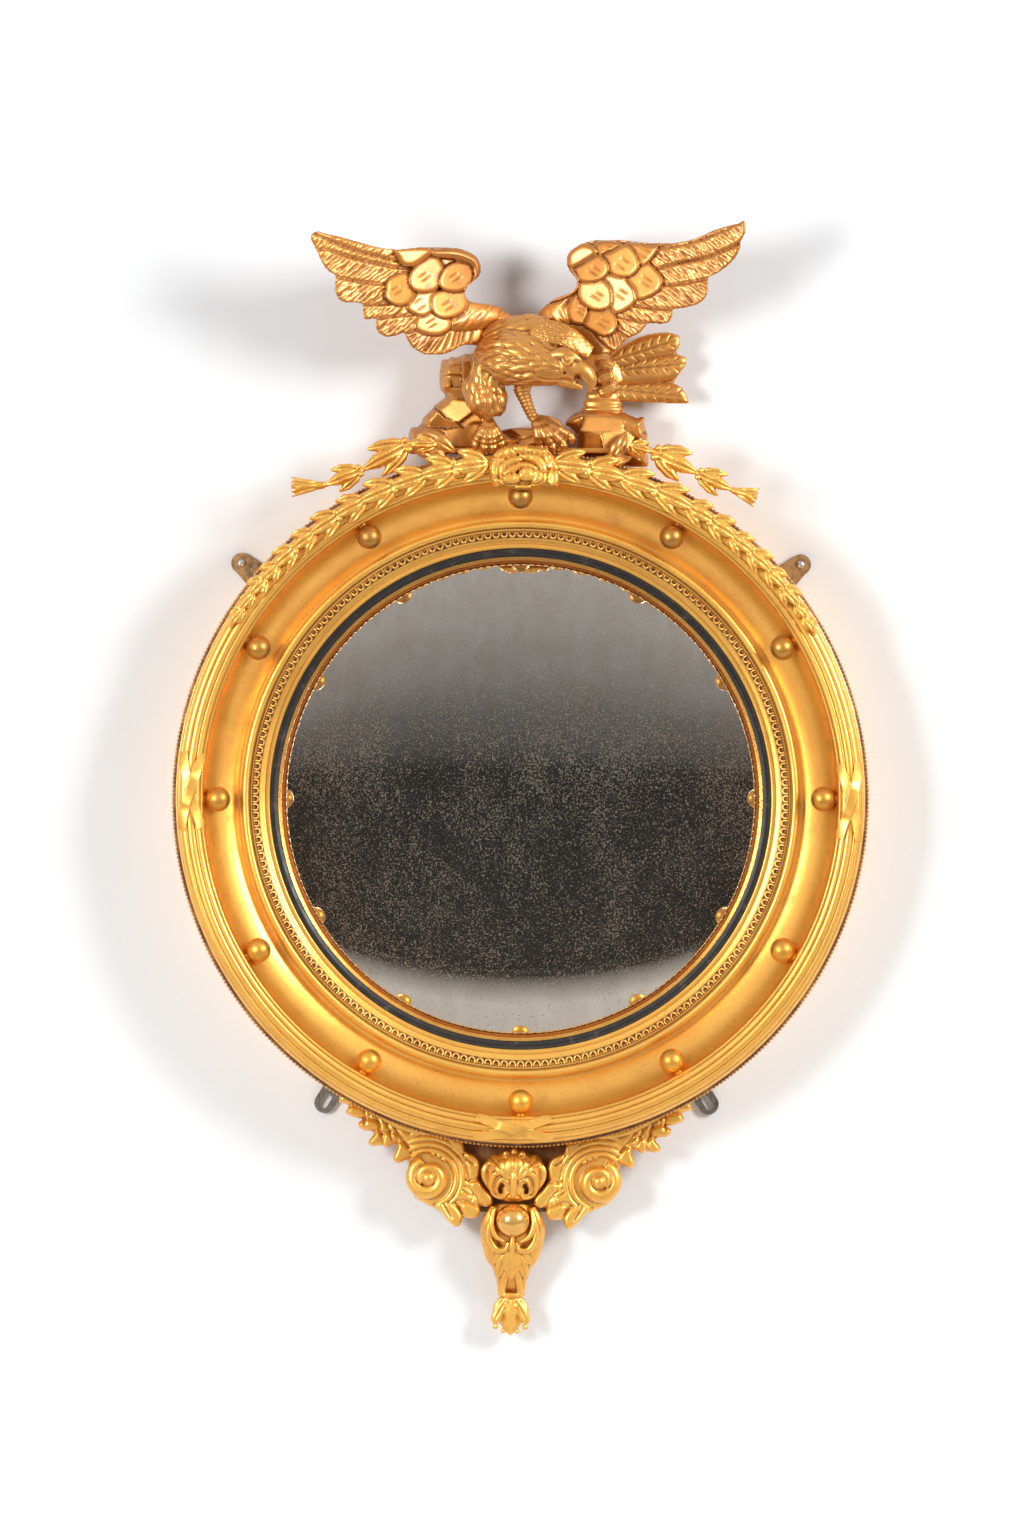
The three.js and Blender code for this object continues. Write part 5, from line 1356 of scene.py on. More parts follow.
def tail():
    """Three broad feathers in a fan, behind a stump with bands and short plumes."""
    relief = Relief([(74, 412), (94, 400), (110, 397), (138, 396), (166, 395), (167, 402), (161, 412),
                     (154, 416), (157, 422), (166, 435), (165, 442), (156, 446), (160, 455), (158, 464),
                     (143, 467), (120, 463), (97, 451), (76, 438)])
    feathers = [
        ([(88, 417), (129, 417), (152, 415), (161, 412), (167, 402), (166, 395), (138, 396), (110, 397),
          (90, 402)],
         (88, 410), (164, 402)),
        ([(88, 440), (129, 442), (154, 446), (165, 442), (166, 435), (157, 422), (129, 416), (88, 417)],
         (88, 428), (162, 435)),
        ([(84, 436), (97, 450), (120, 463), (143, 467), (158, 464), (160, 455), (154, 446), (129, 441),
          (97, 432)],
         (88, 438), (156, 459)),
    ]
    for k, (corners, root, end) in enumerate(feathers):
        relief.plate(corners, TAIL_STEP * k, bulge=2.6, soft=7, groove=1.8)
        relief.cut(root, end, 1.2, 0.9)
        start, run = np.array(root, float), np.array(end, float) - root
        side = np.array([-run[1], run[0]]) / np.linalg.norm(run)
        for t in np.linspace(0.2, 0.88, 6):
            for way in (-1, 1):
                foot = start + run * t + side * way * 2
                relief.cut(foot, foot + run * 0.07 + side * way * rng.uniform(4, 7), 1.5, 0.7)
    shell = Shell()
    relief.add_to(shell, lambda x, z, rise: seen(x, z, TAIL_DEPTH + rise), -TAIL_THICK)
    limb(shell, [seen(82, 412, 26), seen(82, 396, 28), seen(82, 384, 28)], [14, 19, 22], squash=0.42,
         bands=4, band=0.9)
    limb(shell, [seen(62, 440, 28), seen(84, 428, 27), seen(96, 414, 26)], [15, 16, 12], squash=0.5)
    for points in ([(92, 432), (84, 435), (75, 437)], [(92, 424), (83, 422), (76, 417)],
                   [(94, 414), (86, 409), (78, 405)]):
        blade(shell, [seen(x, z, 34) for x, z in points], 6.5, 4, shield_form, under=6, vein=0.8)
    piece = carved(shell, "tail_carved", 0.85)
    return dressed(piece, body_gold, "crest_gilding", "eagle_tail")


# ---- Garlands -------------------------------------------------------------------------------------


ROSE_STEP = 2.6  # each row of petals lies this much over the one outside it
ROSE_DOME = 6.0  # radius of the rounded outer edge


def rosette():
    """A rose seen a little from below: three rows of broad petals round a bud."""
    front = -node_box("rosette")[0][1]
    relief = Relief([(-32, 331), (-30, 338), (-27, 344), (-21, 349), (-14, 353), (-6, 354), (3, 355),
                     (10, 353), (18, 352), (26, 350), (32, 344), (36, 338), (40, 332), (40, 324),
                     (40, 317), (37, 311), (30, 310), (20, 311), (13, 308), (2, 308), (-8, 309),
                     (-15, 311), (-22, 310), (-27, 313), (-31, 320)], pitch=0.7)
    rows = [[
        [(-31, 323), (-22, 323), (-19, 317), (-17, 311), (-24, 310), (-28, 314)],
        [(-32, 331), (-29, 339), (-21, 342), (-14, 340), (-13, 334), (-19, 331), (-21, 323), (-27, 321),
         (-31, 325)],
        [(-27, 343), (-22, 349), (-14, 353), (-8, 352), (-3, 349), (-4, 344), (-11, 341), (-17, 341),
         (-22, 342)],
        [(-8, 353), (3, 355), (10, 353), (11, 348), (6, 345), (0, 344), (-4, 346)],
        [(9, 353), (18, 353), (27, 350), (31, 344), (29, 341), (22, 342), (15, 344), (8, 347)],
        [(25, 345), (32, 344), (36, 338), (40, 332), (40, 325), (35, 325), (28, 328), (25, 335), (23, 341)],
        [(29, 328), (40, 325), (40, 317), (37, 311), (30, 311), (27, 317), (26, 324)],
        [(-10, 311), (-1, 313), (10, 313), (14, 311), (7, 308), (-3, 308)],
    ], [
        [(-20, 320), (-14, 315), (-6, 314), (-8, 311), (-15, 311), (-20, 314)],
        [(-21, 331), (-14, 338), (-6, 341), (3, 341), (-1, 336), (-8, 333), (-14, 330), (-17, 323),
         (-20, 320)],
        [(-1, 343), (10, 344), (18, 342), (24, 336), (26, 328), (24, 323), (18, 325), (17, 332), (11, 337),
         (4, 339)],
        [(24, 325), (26, 320), (23, 314), (13, 311), (11, 315), (18, 320)],
    ], [
        [(-17, 323), (-13, 329), (-6, 333), (3, 335), (11, 334), (17, 329), (13, 328), (6, 331), (-1, 330),
         (-6, 326), (-11, 324)],
        [(-18, 321), (-8, 324), (-1, 323), (0, 319), (-6, 315), (-14, 315)],
        [(10, 326), (17, 328), (22, 324), (21, 318), (15, 315), (11, 318)],
    ], [
        [(-1, 326), (4, 330), (10, 329), (13, 324), (11, 319), (4, 318), (-1, 321)],
    ]]
    middle = relief.outline.mean(0)
    for step, petals in enumerate(rows):
        for k, petal in enumerate(petals):
            slope = 0.1 * (np.mean(petal, axis=0) - middle) / 20
            relief.plate(petal, ROSE_STEP * step + 0.4 * (k % 3), slope=slope, bulge=2.8, soft=4,
                         groove=1.6, grow=0.9)
    relief.barbs([(-30, 352), (-10, 356), (14, 355), (38, 340), (38, 318), (-28, 318)], (0.5, 0.5), 1.5,
                 spacing=6, depth=0.9)
    relief.rise += ROSE_DOME * (1 - np.clip(1 - relief.inside / ROSE_DOME, 0, 1) ** 2) - ROSE_DOME
    shell = Shell()
    back = -node_box("rosette")[1][1]
    level = front - ROSE_STEP * 3 - 3.5
    relief.add_to(shell, lambda x, z, rise: at(x, z, level + rise), back + 0.3 - level)
    piece = carved(shell, "rosette_carved", 0.75)
    return dressed(piece, carved_gold, "crest_gilding", "rosette")


SWAG_KNOTS = {"left": [16.2, 27.4, 37.6, 46, 52.3, 58.5], "right": [17, 29.5, 38.5, 46.8, 54.7, 59.9]}
SWAG_HALF = 14.5  # half the width of the first husk
SWAG_SEAT = 66  # degrees round the moulding's section from its outer wall
SWAG_START = 5.6  # degrees from the top, at the rosette's edge


def husk(shell, knot, tip, half, spread, facing=FRONT, berries=True):
    """Three laurel leaves and their berries on one knot of a garland."""
    along = tip - knot
    across = unit(np.cross(along, facing))
    length = np.linalg.norm(along)
    for way in (-1, 1):
        if spread:
            side = [knot, knot + along * 0.36 + across * way * spread * 0.7 + facing * 1.5,
                    knot + along * 0.74 + across * way * spread * 1.15]
            blade(shell, side, half * 0.5, 5.0, leaf_form, unit(facing + across * way * 0.4), under=3,
                  vein=2.2, groove=1.0, cup=1.0, flat=0.1, scallop=0.16, scallops=3)
    rise = facing * min(3.5, length * 0.1)
    blade(shell, [knot, knot + along * 0.5 + rise, knot + along * 1.04], half * 0.6, 5.6, leaf_form,
          facing, under=3.5, vein=2.4, groove=1.1, cup=1.0, flat=0.1, scallop=0.14, scallops=3)
    if berries:
        for way in (-0.7, 0.7):
            ball(shell, knot + across * way * half * 0.5 + facing * 3.0 + along / length * 2,
                 half * 0.27, rows=7)


def torus_surface(angle, proud):
    """A point proud of the reeded moulding, a little outside its crest."""
    a = math.radians(SWAG_SEAT)
    x, z = polar(TORUS_MID + (TORUS_HALF + proud) * math.cos(a), angle)
    return at(x, z, TORUS_FOOT + (TORUS_HEIGHT + proud) * math.sin(a))


def swag(side):
    way = -1 if side == "left" else 1
    shell = Shell()
    stops = [SWAG_START, *SWAG_KNOTS[side]]
    for k, (start, stop) in enumerate(zip(stops, stops[1:])):
        half = SWAG_HALF - 1.3 * k
        for part in (0.0, 0.5):
            knot = torus_surface(way * (start + (stop - start) * part), 3.2)
            tip = torus_surface(way * (start + (stop - start) * (part + 0.62)), 4.6)
            husk(shell, knot, tip, half, half * (0.95 if k < 5 else 0.6), berries=part > 0)
        knot, tip = torus_surface(way * start, 3.2), torus_surface(way * (stop + 1.0), 3.2)
        limb(shell, [knot, torus_surface(way * (start + stop) / 2, 1.0), tip], [2.6, 2.6, 2.2], sides=10)
    piece = carved(shell, f"swag_{side}_carved", 0.7)
    return dressed(piece, carved_gold, "crest_gilding", f"swag_{side}")


def spray(side, bends, tip):
    """A laurel spray on a bent stem, which ends in a bell flower."""
    shell = Shell()
    stops = [seen(*bend) for bend in bends]
    end = seen(*tip)
    limb(shell, [*stops, end], [3.4, 3.4, 3.0, 2.4, 1.8], sides=14)
    for (knot, head), half in zip(zip(stops[1:-1], stops[2:]), (14.5, 11.0)):
        husk(shell, knot, head, half, half * 0.95)
    husk(shell, stops[0], stops[1], 7, 6, berries=False)
    bell_flower(shell, stops[-1], end)
    piece = carved(shell, f"spray_{side}_carved", 0.7)
    return dressed(piece, carved_gold, "crest_gilding", f"spray_{side}")


def bell_flower(shell, knot, end, petals=6):
    along = end - knot
    length = np.linalg.norm(along)
    forward = along / length
    across = unit(np.cross(forward, FRONT))
    out = np.cross(across, forward)
    limb(shell, [knot, knot + along * 0.5, knot + along * 0.86], [3.6, 5.0, 3.6], sides=16)
    for k in range(petals):
        a = 2 * np.pi * k / petals
        ray = across * math.cos(a) + out * math.sin(a) * 0.6
        path = [knot + along * 0.2 + ray * 3.4, knot + along * 0.62 + ray * 6.0, end + ray * 10]
        blade(shell, path, 5.0, 1.8, leaf_form, unit(ray + 0.01 * FRONT), under=1.6, vein=0.6)


def left_spray():
    return spray("left", [(-84, 354.5, 60), (-112, 355, 64), (-159, 329, 74), (-196, 314, 80)],
                 (-230, 312, 82))


def right_spray():
    return spray("right", [(110, 354.5, 69), (134, 347, 70), (177, 326, 78), (212, 309, 82)],
                 (237, 301, 84))


# ---- Ribbon ties ----------------------------------------------------------------------------------
TIES = {"tie_bottom": 181.2, "tie_left": -88.6, "tie_right": 90.4}  # degrees from the top
TIE_SPAN = 77.0  # along the moulding
TIE_RISE = 22.0  # across it
TIE_HALF_WIDTH = 4.8
TIE_UNDER = 2.2  # the lower ribbon stands this proud of the reeds
TIE_OVER = 3.7  # and the upper one this much
TIE_CROSSING = 0.3  # share of the half length over which it stays up


def over_torus(angle, r, proud):
    """A point that stands proud of the reeded moulding's envelope at a radius."""
    reach = np.clip((r - TORUS_MID) / (TORUS_HALF + proud), -1, 1)
    x, z = polar(r, angle)
    return at(x, z, TORUS_FOOT + (TORUS_HEIGHT + proud) * math.sqrt(1 - reach**2))


def ribbon_tie(name):
    """Two flat ribbons that cross over the reeds, one under the other, with cut ends."""
    shell = Shell()
    slope = math.atan2(TIE_RISE, TIE_SPAN)
    for way, proud in ((1, TIE_UNDER), (-1, TIE_OVER)):
        rings = []
        for v in np.linspace(-1, 1, 61):
            past = max(abs(v) - TIE_CROSSING, 0.0) / 0.12
            fall = math.exp(-(past**2))
            lift = proud if abs(v) < TIE_CROSSING else TIE_UNDER + (proud - TIE_UNDER) * fall
            row = []
            for w in np.linspace(-1, 1, 9):
                s = v * TIE_SPAN / 2 - way * w * TIE_HALF_WIDTH * math.sin(slope)
                r = TORUS_MID + way * v * TIE_RISE / 2 + w * TIE_HALF_WIDTH * math.cos(slope)
                r = min(max(r, TORUS_MID - TORUS_HALF + FIT), RING - 0.5)
                row.append((math.degrees(s / TORUS_MID), r, lift + 0.5 * w**2))
            top = [over_torus(TIES[name] + a, r, p) for a, r, p in row]
            bottom = [over_torus(TIES[name] + a, r, p - 4.0) for a, r, p in row[::-1]]
            rings.append(top + bottom)
        shell.loft(rings)
    piece = carved(shell, f"{name}_carved", 0.55, soften=1)
    return dressed(piece, carved_gold, "frame_gilding", name)


# ---- Apron ----------------------------------------------------------------------------------------
APRON_SHIFT = -6.7  # the apron hangs a little to the left
APRON_TILT = math.radians(1.3)
APRON_BACK = -node_box("apron_scroll_left")[1][1]
APRON_BOARD = 34.0
BOSS_Z, BOSS_HALF_X, BOSS_HALF_Z, BOSS_RISE = -32.5, 28.5, 27.0, 34.0
VOLUTE_U, VOLUTE_Z, VOLUTE_RADIUS, VOLUTE_EYE = 85.5, -37.0, 24.0, 8.4
PENDANT_LEAN = 0.1
PENDANT_LEAN_FROM = -70.0
PENDANT_WIDTHS = [(-61, 21, 44), (-70, 26, 48), (-91, 29, 46), (-107, 26.5, 44), (-123, 21.5, 40),
                  (-139, 15.5, 36), (-152, 12.5, 34), (-166, 13, 34), (-178, 14, 33), (-187, 8, 31),
                  (-192.5, 2, 30)]


def apron(u, z, depth, way=1):
    """A point of the apron: u outwards from its own axis and z up from the ring's lowest point."""
    drop = z - BOSS_Z
    x = APRON_SHIFT + way * u * math.cos(APRON_TILT) + drop * math.sin(APRON_TILT)
    up = BOSS_Z + drop * math.cos(APRON_TILT) - way * u * math.sin(APRON_TILT)
    return seen(x, up - RING, depth)


def round_volute(reach, degrees, depth, way):
    a = math.radians(degrees)
    return apron(VOLUTE_U + reach * math.cos(a), VOLUTE_Z + reach * math.sin(a), depth, way)


LEAF_SWELL = 4.0  # rise of the leaves' middle
LEAF_EDGE = 9.0  # width over which they rise
LEAF_ROUND = 3.5  # radius of their outer edge
LEAF_CUTS = [((120, 12), (104, -10)), ((128, 16), (122, 0)), ((138, 22), (134, 6)), ((150, 30), (150, 16)),
             ((50, -16), (40, -22)), ((54, -46), (42, -54)), ((60, -58), (50, -72)), ((70, -62), (62, -76)),
             ((80, -62), (74, -70)), ((52, -36), (42, -40))]


def apron_scroll(side):
    """Ragged acanthus leaves on a board, with a volute in their bend."""
    way = -1 if side == "left" else 1
    outline = [(164, 47), (169, 47), (175, 44), (177, 39), (176, 36), (171, 35), (167, 33), (170, 27),
               (166, 24), (158, 21), (151, 21), (157, 17), (156, 12), (151, 9), (145, 9), (141, 6),
               (146, 0), (146, -5), (141, -7), (136, -6), (132, -6), (128, -8), (124, -6), (120, -4),
               (118, -6), (119, -10), (121, -16), (120, -21), (115, -23), (109, -20), (107, -20),
               (106, -25), (108, -32), (107, -41), (103, -50), (97, -58), (88, -63), (79, -67),
               (72, -71), (66, -79), (61, -83), (57, -86), (52, -83), (50, -77), (47, -76), (41, -77),
               (35, -75), (32, -69), (33, -65), (31, -64), (26, -65), (21, -62), (20, -56), (23, -51),
               (28, -46), (33, -39), (34, -32), (33, -24), (35, -17), (40, -12), (48, -9), (50, -2),
               (51, 5), (55, 10), (85, 8), (113, 15), (141, 29), (160, 43)]
    lobes = [
        [(118, -6), (119, -10), (122, -16), (120, -22), (114, -23), (108, -20), (104, -12), (109, -4),
         (115, -2)],
        [(133, 2), (133, -5), (128, -8), (122, -5), (117, 3), (122, 8), (130, 7)],
        [(146, 0), (146, -5), (141, -7), (134, -5), (132, 2), (136, 9), (141, 6)],
        [(157, 17), (156, 12), (151, 9), (144, 9), (136, 12), (137, 18), (148, 21)],
        [(169, 29), (165, 23), (158, 21), (149, 21), (146, 26), (153, 32), (164, 33)],
        [(176, 46), (177, 39), (176, 36), (171, 35), (164, 35), (157, 39), (164, 45)],
        [(79, -67), (72, -71), (66, -79), (61, -83), (57, -86), (52, -83), (50, -77), (54, -68), (64, -61),
         (75, -61)],
        [(48, -60), (42, -62), (33, -65), (32, -69), (35, -75), (41, -77), (47, -76), (51, -71), (53, -63)],
        [(44, -39), (33, -39), (28, -46), (23, -51), (20, -56), (21, -62), (26, -65), (32, -63), (37, -54),
         (43, -48)],
        [(49, -9), (40, -12), (35, -17), (33, -24), (34, -32), (39, -37), (45, -35), (48, -24), (50, -15)],
        [(70, 5), (60, 3), (54, 2), (49, -3), (49, -9), (54, -13), (60, -9), (65, -3)],
        [(59, -55), (53, -45), (47, -46), (41, -52), (43, -59), (50, -57), (55, -58)],
    ]
    relief = Relief(outline)
    relief.rise += LEAF_SWELL * (1 - np.clip(1 - relief.inside / LEAF_EDGE, 0, 1) ** 2)
    for lobe in lobes:
        relief.plate(lobe, LEAF_SWELL - 1.6, bulge=3.0, soft=5.0, groove=0.9, grow=0.8)
    for start, end in LEAF_CUTS:
        relief.cut(start, end, 2.4, 1.3)
    relief.rise += LEAF_ROUND * (1 - np.clip(1 - relief.inside / LEAF_ROUND, 0, 1) ** 2) - LEAF_ROUND
    shell = Shell()
    relief.add_to(shell, lambda u, z, rise: apron(u, z, APRON_BOARD + 4.0 + rise, way),
                  APRON_BACK + 0.4 - APRON_BOARD - 4.0)
    midrib = [(60, 6), (84, 8), (112, 14), (138, 27), (164, 42)]
    limb(shell, [apron(u, z, APRON_BOARD + 5, way) for u, z in midrib], [2.5, 4.2, 4.2, 3.6, 2.0])
    for reach, radius, depth, start, end in ((28.0, 3.2, 41.5, 50, 250), (34.0, 3.0, 41, 50, 235),
                                             (40.0, 3.0, 40.5, 58, 160), (46.0, 2.6, 40, 62, 128)):
        arc_points = [round_volute(reach, a, depth, way) for a in np.linspace(start, end, 9)]
        limb(shell, arc_points, [1.8, radius, radius, radius, 1.4], sides=16)
    coil = []
    for t in np.linspace(0, 1, 26):
        reach = (VOLUTE_RADIUS - 6.4) * (1 - t) + VOLUTE_EYE * 0.85 * t
        coil.append(round_volute(reach, 70 - 360 * 1.3 * t, 42 + 6 * t, way))
    limb(shell, coil, [6.2, 7.0, 6.8, 5.6, 3.6], sides=28)
    ball(shell, round_volute(0, 0, 46, way), VOLUTE_EYE, stretch=(1, 1.1, 1), rows=16)
    ball(shell, round_volute(0, 0, 36, way), VOLUTE_RADIUS - 4, stretch=(1, 0.45, 1), rows=16)
    for degrees in (100, 114, 128):
        ball(shell, round_volute(24.5, degrees, 42, way), 2.4, rows=7)
    piece = carved(shell, f"apron_scroll_{side}_carved", 0.8)
    return dressed(piece, carved_gold, "frame_gilding", f"apron_scroll_{side}")


def on_boss(u, rise, proud=0.0):
    """A point on the boss's dome, rise above its middle."""
    share = math.hypot(u / BOSS_HALF_X, rise / BOSS_HALF_Z)
    height = np.interp(share, [0.15, 0.55, 0.86, 1.0], [1, 0.94, 0.78, 0.44])
    return apron(u, BOSS_Z + rise, APRON_BACK + BOSS_RISE * height + proud)


def apron_boss():
    """A dome with a palmette, a crown of beads and two hollow curls."""
    shell = Shell()
    rings = []
    for share, height in [(1, 0), (1, 0.2), (1, 0.44), (0.95, 0.62), (0.86, 0.76), (0.7, 0.87),
                          (0.5, 0.94), (0.25, 0.98), (0.05, 1)]:
        a = np.linspace(0, 2 * np.pi, 48, endpoint=False)
        rings.append([apron(BOSS_HALF_X * share * math.cos(v), BOSS_Z + BOSS_HALF_Z * share * math.sin(v),
                            APRON_BACK + 0.4 + BOSS_RISE * height) for v in a])
    shell.loft(rings)
    limb(shell, [on_boss(0, 12, 1), on_boss(0, -4, 1.5), on_boss(0, -21, 0)], [2.2, 3.6, 2.6])
    for u, tip, half in ((-17, 12, 6.0), (17, 12, 6.0), (-9.5, 17, 6.4), (9.5, 17, 6.4), (0, 20, 8.0)):
        blade(shell, [on_boss(u * 0.2, -3, 1.5), on_boss(u * 0.7, tip * 0.5, 3), on_boss(u, tip, 3)],
              half, 3.0, petal_form, vein=1.8, cup=0.8)
    for u, rise in ((-8.2, 21.5), (0, 24), (8.2, 21.5)):
        ball(shell, on_boss(u, rise, 0.5), 3.6, rows=9)
    for way in (-1, 1):
        brow = [(4, -1), (12, 3), (20, 0), (23, -9), (19, -19), (11, -22), (6, -17)]
        limb(shell, [on_boss(way * u, rise, 1.6) for u, rise in brow], [1.6, 2.8, 3.2, 3.0, 2.8, 2.2, 1.4])
        lash = [(5, -7), (11, -4), (16, -8), (16, -14)]
        limb(shell, [on_boss(way * u, rise, 0.8) for u, rise in lash], [1.2, 2.0, 2.0, 1.2])
        blade(shell, [on_boss(way * 21, 15, -1), on_boss(way * 26.5, 2, 1), on_boss(way * 22, -18, 0)],
              6.5, 3, leaf_form, vein=1.6)
        blade(shell, [on_boss(way * 15, 9, 1), on_boss(way * 21, 15, 1), on_boss(way * 25, 19, 0)], 6.5,
              2.5, petal_form, vein=1.4)
    hollows = [(11.5, -10.5), (13.2, -13.5), (12.8, -16.5)]
    dents = [(on_boss(way * u, rise, 4), 2.3, 6) for way in (-1, 1) for u, rise in hollows]
    piece = carved(shell, "apron_boss_carved", 0.7, dents=dents)
    return dressed(piece, carved_gold, "frame_gilding", "apron_boss")


def hang(u, z, depth):
    return apron(u, z, depth - PENDANT_LEAN * max(0.0, PENDANT_LEAN_FROM - z))


def pendant():
    """The drop: a burnished ball held in an open curl of leaves, with a bud at the end."""
    shell = Shell()
    levels = np.linspace(PENDANT_WIDTHS[0][0], PENDANT_WIDTHS[-1][0], 60)
    table = np.array(PENDANT_WIDTHS)[::-1]
    a = np.linspace(0, np.pi, 19)
    rings = []
    for z in levels:
        half = np.interp(z, table[:, 0], table[:, 1]) - 1.0
        front = np.interp(z, table[:, 0], table[:, 2]) - 5.0
        bow = [hang(half * math.cos(v), z, APRON_BACK + 0.4 + (front - APRON_BACK) * math.sin(v))
               for v in a]
        rings.append(bow)
    shell.loft(rings)
    for way in (-1, 1):
        side = lambda u, z, depth: hang(way * u, z, depth)
        blade(shell, [side(19, -64, 40), side(25, -84, 40), side(21, -112, 38), side(12, -130, 34)], 8,
              4, leaf_form, unit(np.array([way * 0.5, -1, 0])), under=6, comb=1.2, combs=3)
        limb(shell,
             [side(22, -74, 46), side(24, -92, 46), side(17, -106, 46), side(7, -107, 47),
              side(4, -99, 47)], [2.0, 3.4, 3.4, 2.8, 2.0])
        limb(shell, [side(19, -66, 44), side(21, -80, 47), side(17, -93, 49), side(8, -99, 50)],
             [2.4, 2.8, 2.6, 1.6])
        blade(shell, [side(4, -104, 45), side(12, -114, 43), side(19, -120, 40)], 5.5, 3, leaf_form,
              vein=1.2)
        blade(shell, [side(5, -112, 43), side(11, -124, 41), side(14, -136, 37)], 5.5, 3, leaf_form,
              vein=1.0)
        limb(shell, [side(4, -122, 40), side(7, -136, 38), side(9, -150, 36)], [3.0, 3.6, 3.0])
        limb(shell, [side(13, -128, 36), side(12, -140, 34), side(11, -150, 34)], [2.4, 2.8, 2.4])
        blade(shell, [side(4, -156, 38), side(11, -168, 37), side(17, -181, 38)], 5.5, 3, petal_form,
              under=5, vein=1.2, comb=0.6, combs=2)
        blade(shell, [side(8, -154, 35), side(13, -164, 35), side(14, -174, 36)], 4.5, 3, petal_form,
              under=5, vein=0.8)
        ball(shell, side(15, -184, 36), 3.0, rows=8)
        ball(shell, side(7, -188, 36), 2.6, rows=8)
        ball(shell, side(4.6, -163, 39), 2.0, rows=7)
    limb(shell, [hang(0, -94, 50), hang(0, -104, 50), hang(0, -114, 46)], [2.2, 3.4, 2.0])
    blade(shell, [hang(0, -104, 47), hang(0, -120, 44), hang(0, -138, 38)], 9, 3.5, leaf_form, rib=1.0,
          comb=0.8, combs=4)
    limb(shell, [hang(-12, -151, 30), hang(-7, -152, 37), hang(7, -152, 37), hang(12, -151, 30)],
         [2.2, 2.6, 2.2])
    limb(shell, [hang(-13, -156, 30), hang(-7, -157, 37), hang(7, -157, 37), hang(13, -156, 30)],
         [1.4, 1.8, 1.4])
    blade(shell, [hang(0, -156, 39), hang(0, -175, 38), hang(0, -192.5, 35)], 7, 3.5, leaf_form,
          under=6, rib=1.2, scallop=0.2, scallops=3)
    piece = carved(shell, "apron_pendant_carved", 0.7)
    dressed(piece, carved_gold, "frame_gilding", "apron_pendant")
    drop = Shell()
    ball(drop, hang(0, -78, 45), 17.2, rows=40)
    globe = drop.piece("apron_pendant_ball")
    face_outwards(globe)
    shade_smooth(globe)
    return dressed(globe, burnished_gold, "frame_gilding", "apron_pendant")


# ---- Back and hangings ----------------------------------------------------------------------------
def eased(node, material, slot, edge=0.5, segments=2):
    """A CAD piece whose form is right already, with its edges eased."""
    piece = bpy.data.objects.new(f"{node}_eased", frame["nodes"][node].data.copy())
    bpy.context.scene.collection.objects.link(piece)
    bevel = piece.modifiers.new("ease", "BEVEL")
    bevel.width = edge * MM
    bevel.segments = segments
    bevel.limit_method = "ANGLE"
    bevel.angle_limit = math.radians(35)
    bevel.use_clamp_overlap = True
    view = bpy.context.evaluated_depsgraph_get()
    mesh = bpy.data.meshes.new_from_object(piece.evaluated_get(view))
    piece.modifiers.clear()
    piece.data = mesh
    shade_smooth(piece, 35)
    return dressed(piece, material, slot, node)


def screw(node, recess, head_first=False):
    """A turned screw in its CAD place with a recess in its head; head_first faces it forwards."""
    low, high = node_box(node)
    x, z = (low[0] + high[0]) / 2, (low[2] + high[2]) / 2
    front, back = -low[1], -high[1]
    head = (high[0] - low[0]) / 2
    shank = head * 0.5
    if head_first:
        profile = [(0, back), (shank, back + 5), (shank, front - 2.6), (head, front - 2.6),
                   (head * 0.96, front - 1.7), (head * 0.72, front - 0.6), (head * 0.4, front - 0.1),
                   (0, front)]
    else:
        profile = [(0, front), (shank, front - 4), (shank, back + 2.4), (head * 0.97, back + 0.5),
                   (head * 0.97, back + 0.1), (head * 0.9, back), (0, back)]
    piece = turned(f"{node}_turned", profile, 40, 35)
    for vertex in piece.data.vertices:
        vertex.co += Vector((x * MM, 0, z * MM))
    bmesh_weld(piece)
    face = front if head_first else back
    bars = {"cross": [(0, 2.2, 0.45), (90, 2.2, 0.45)], "slot": [(40, head + 1, 0.5)],
            "square": [(8, 1.25, 1.25)]}[recess]
    for angle, half_long, half_wide in bars:
        tool = bmesh.new()
        made = bmesh.ops.create_cube(tool, size=2.0)["verts"]
        c, s = math.cos(math.radians(angle)), math.sin(math.radians(angle))
        for vertex in made:
            u, v, w = vertex.co.x * half_long, vertex.co.z * half_wide, vertex.co.y * 1.3
            vertex.co = Vector(((x + u * c - v * s) * MM, (w - face) * MM, (z + u * s + v * c) * MM))
        mesh = bpy.data.meshes.new("recess")
        tool.to_mesh(mesh)
        tool.free()
        cutter = bpy.data.objects.new("recess", mesh)
        bpy.context.scene.collection.objects.link(cutter)
        cut_away(piece, cutter)
    shade_smooth(piece, 35)
    return dressed(piece, screw_steel, "screw_steel", node)


def bmesh_weld(piece):
    """Joins the points that meet on a turned piece's axis."""
    work = bmesh.new()
    work.from_mesh(piece.data)
    bmesh.ops.remove_doubles(work, verts=work.verts, dist=0.01 * MM)
    bmesh.ops.recalc_face_normals(work, faces=work.faces)
    work.to_mesh(piece.data)
    work.free()


# ---- Camera, lights and surroundings --------------------------------------------------------------
WORLD_FILL = 0.24  # strength of the world in diffuse light
WALL_GAP = 0.003
WALL_REACH = 6.0
WALL_HOLE = 0.33  # radius, hidden behind the ring
FLOOR_LEVEL = -0.80
FLOOR_REACH = 0.85
FLOOR_FADE = (-0.80, -0.60)  # where the floor's painted reflection fades to near black
CARD_DISTANCE = 3.5
CARD_HALF_WIDTH = 12.0


RIGHT_LAMP = dict(azimuth=47, elevation=18, distance=3.2, width=0.85, height=1.05, power=69)
LEFT_LAMP = dict(azimuth=-37, elevation=7, distance=3.2, width=0.85, height=1.05, power=60)


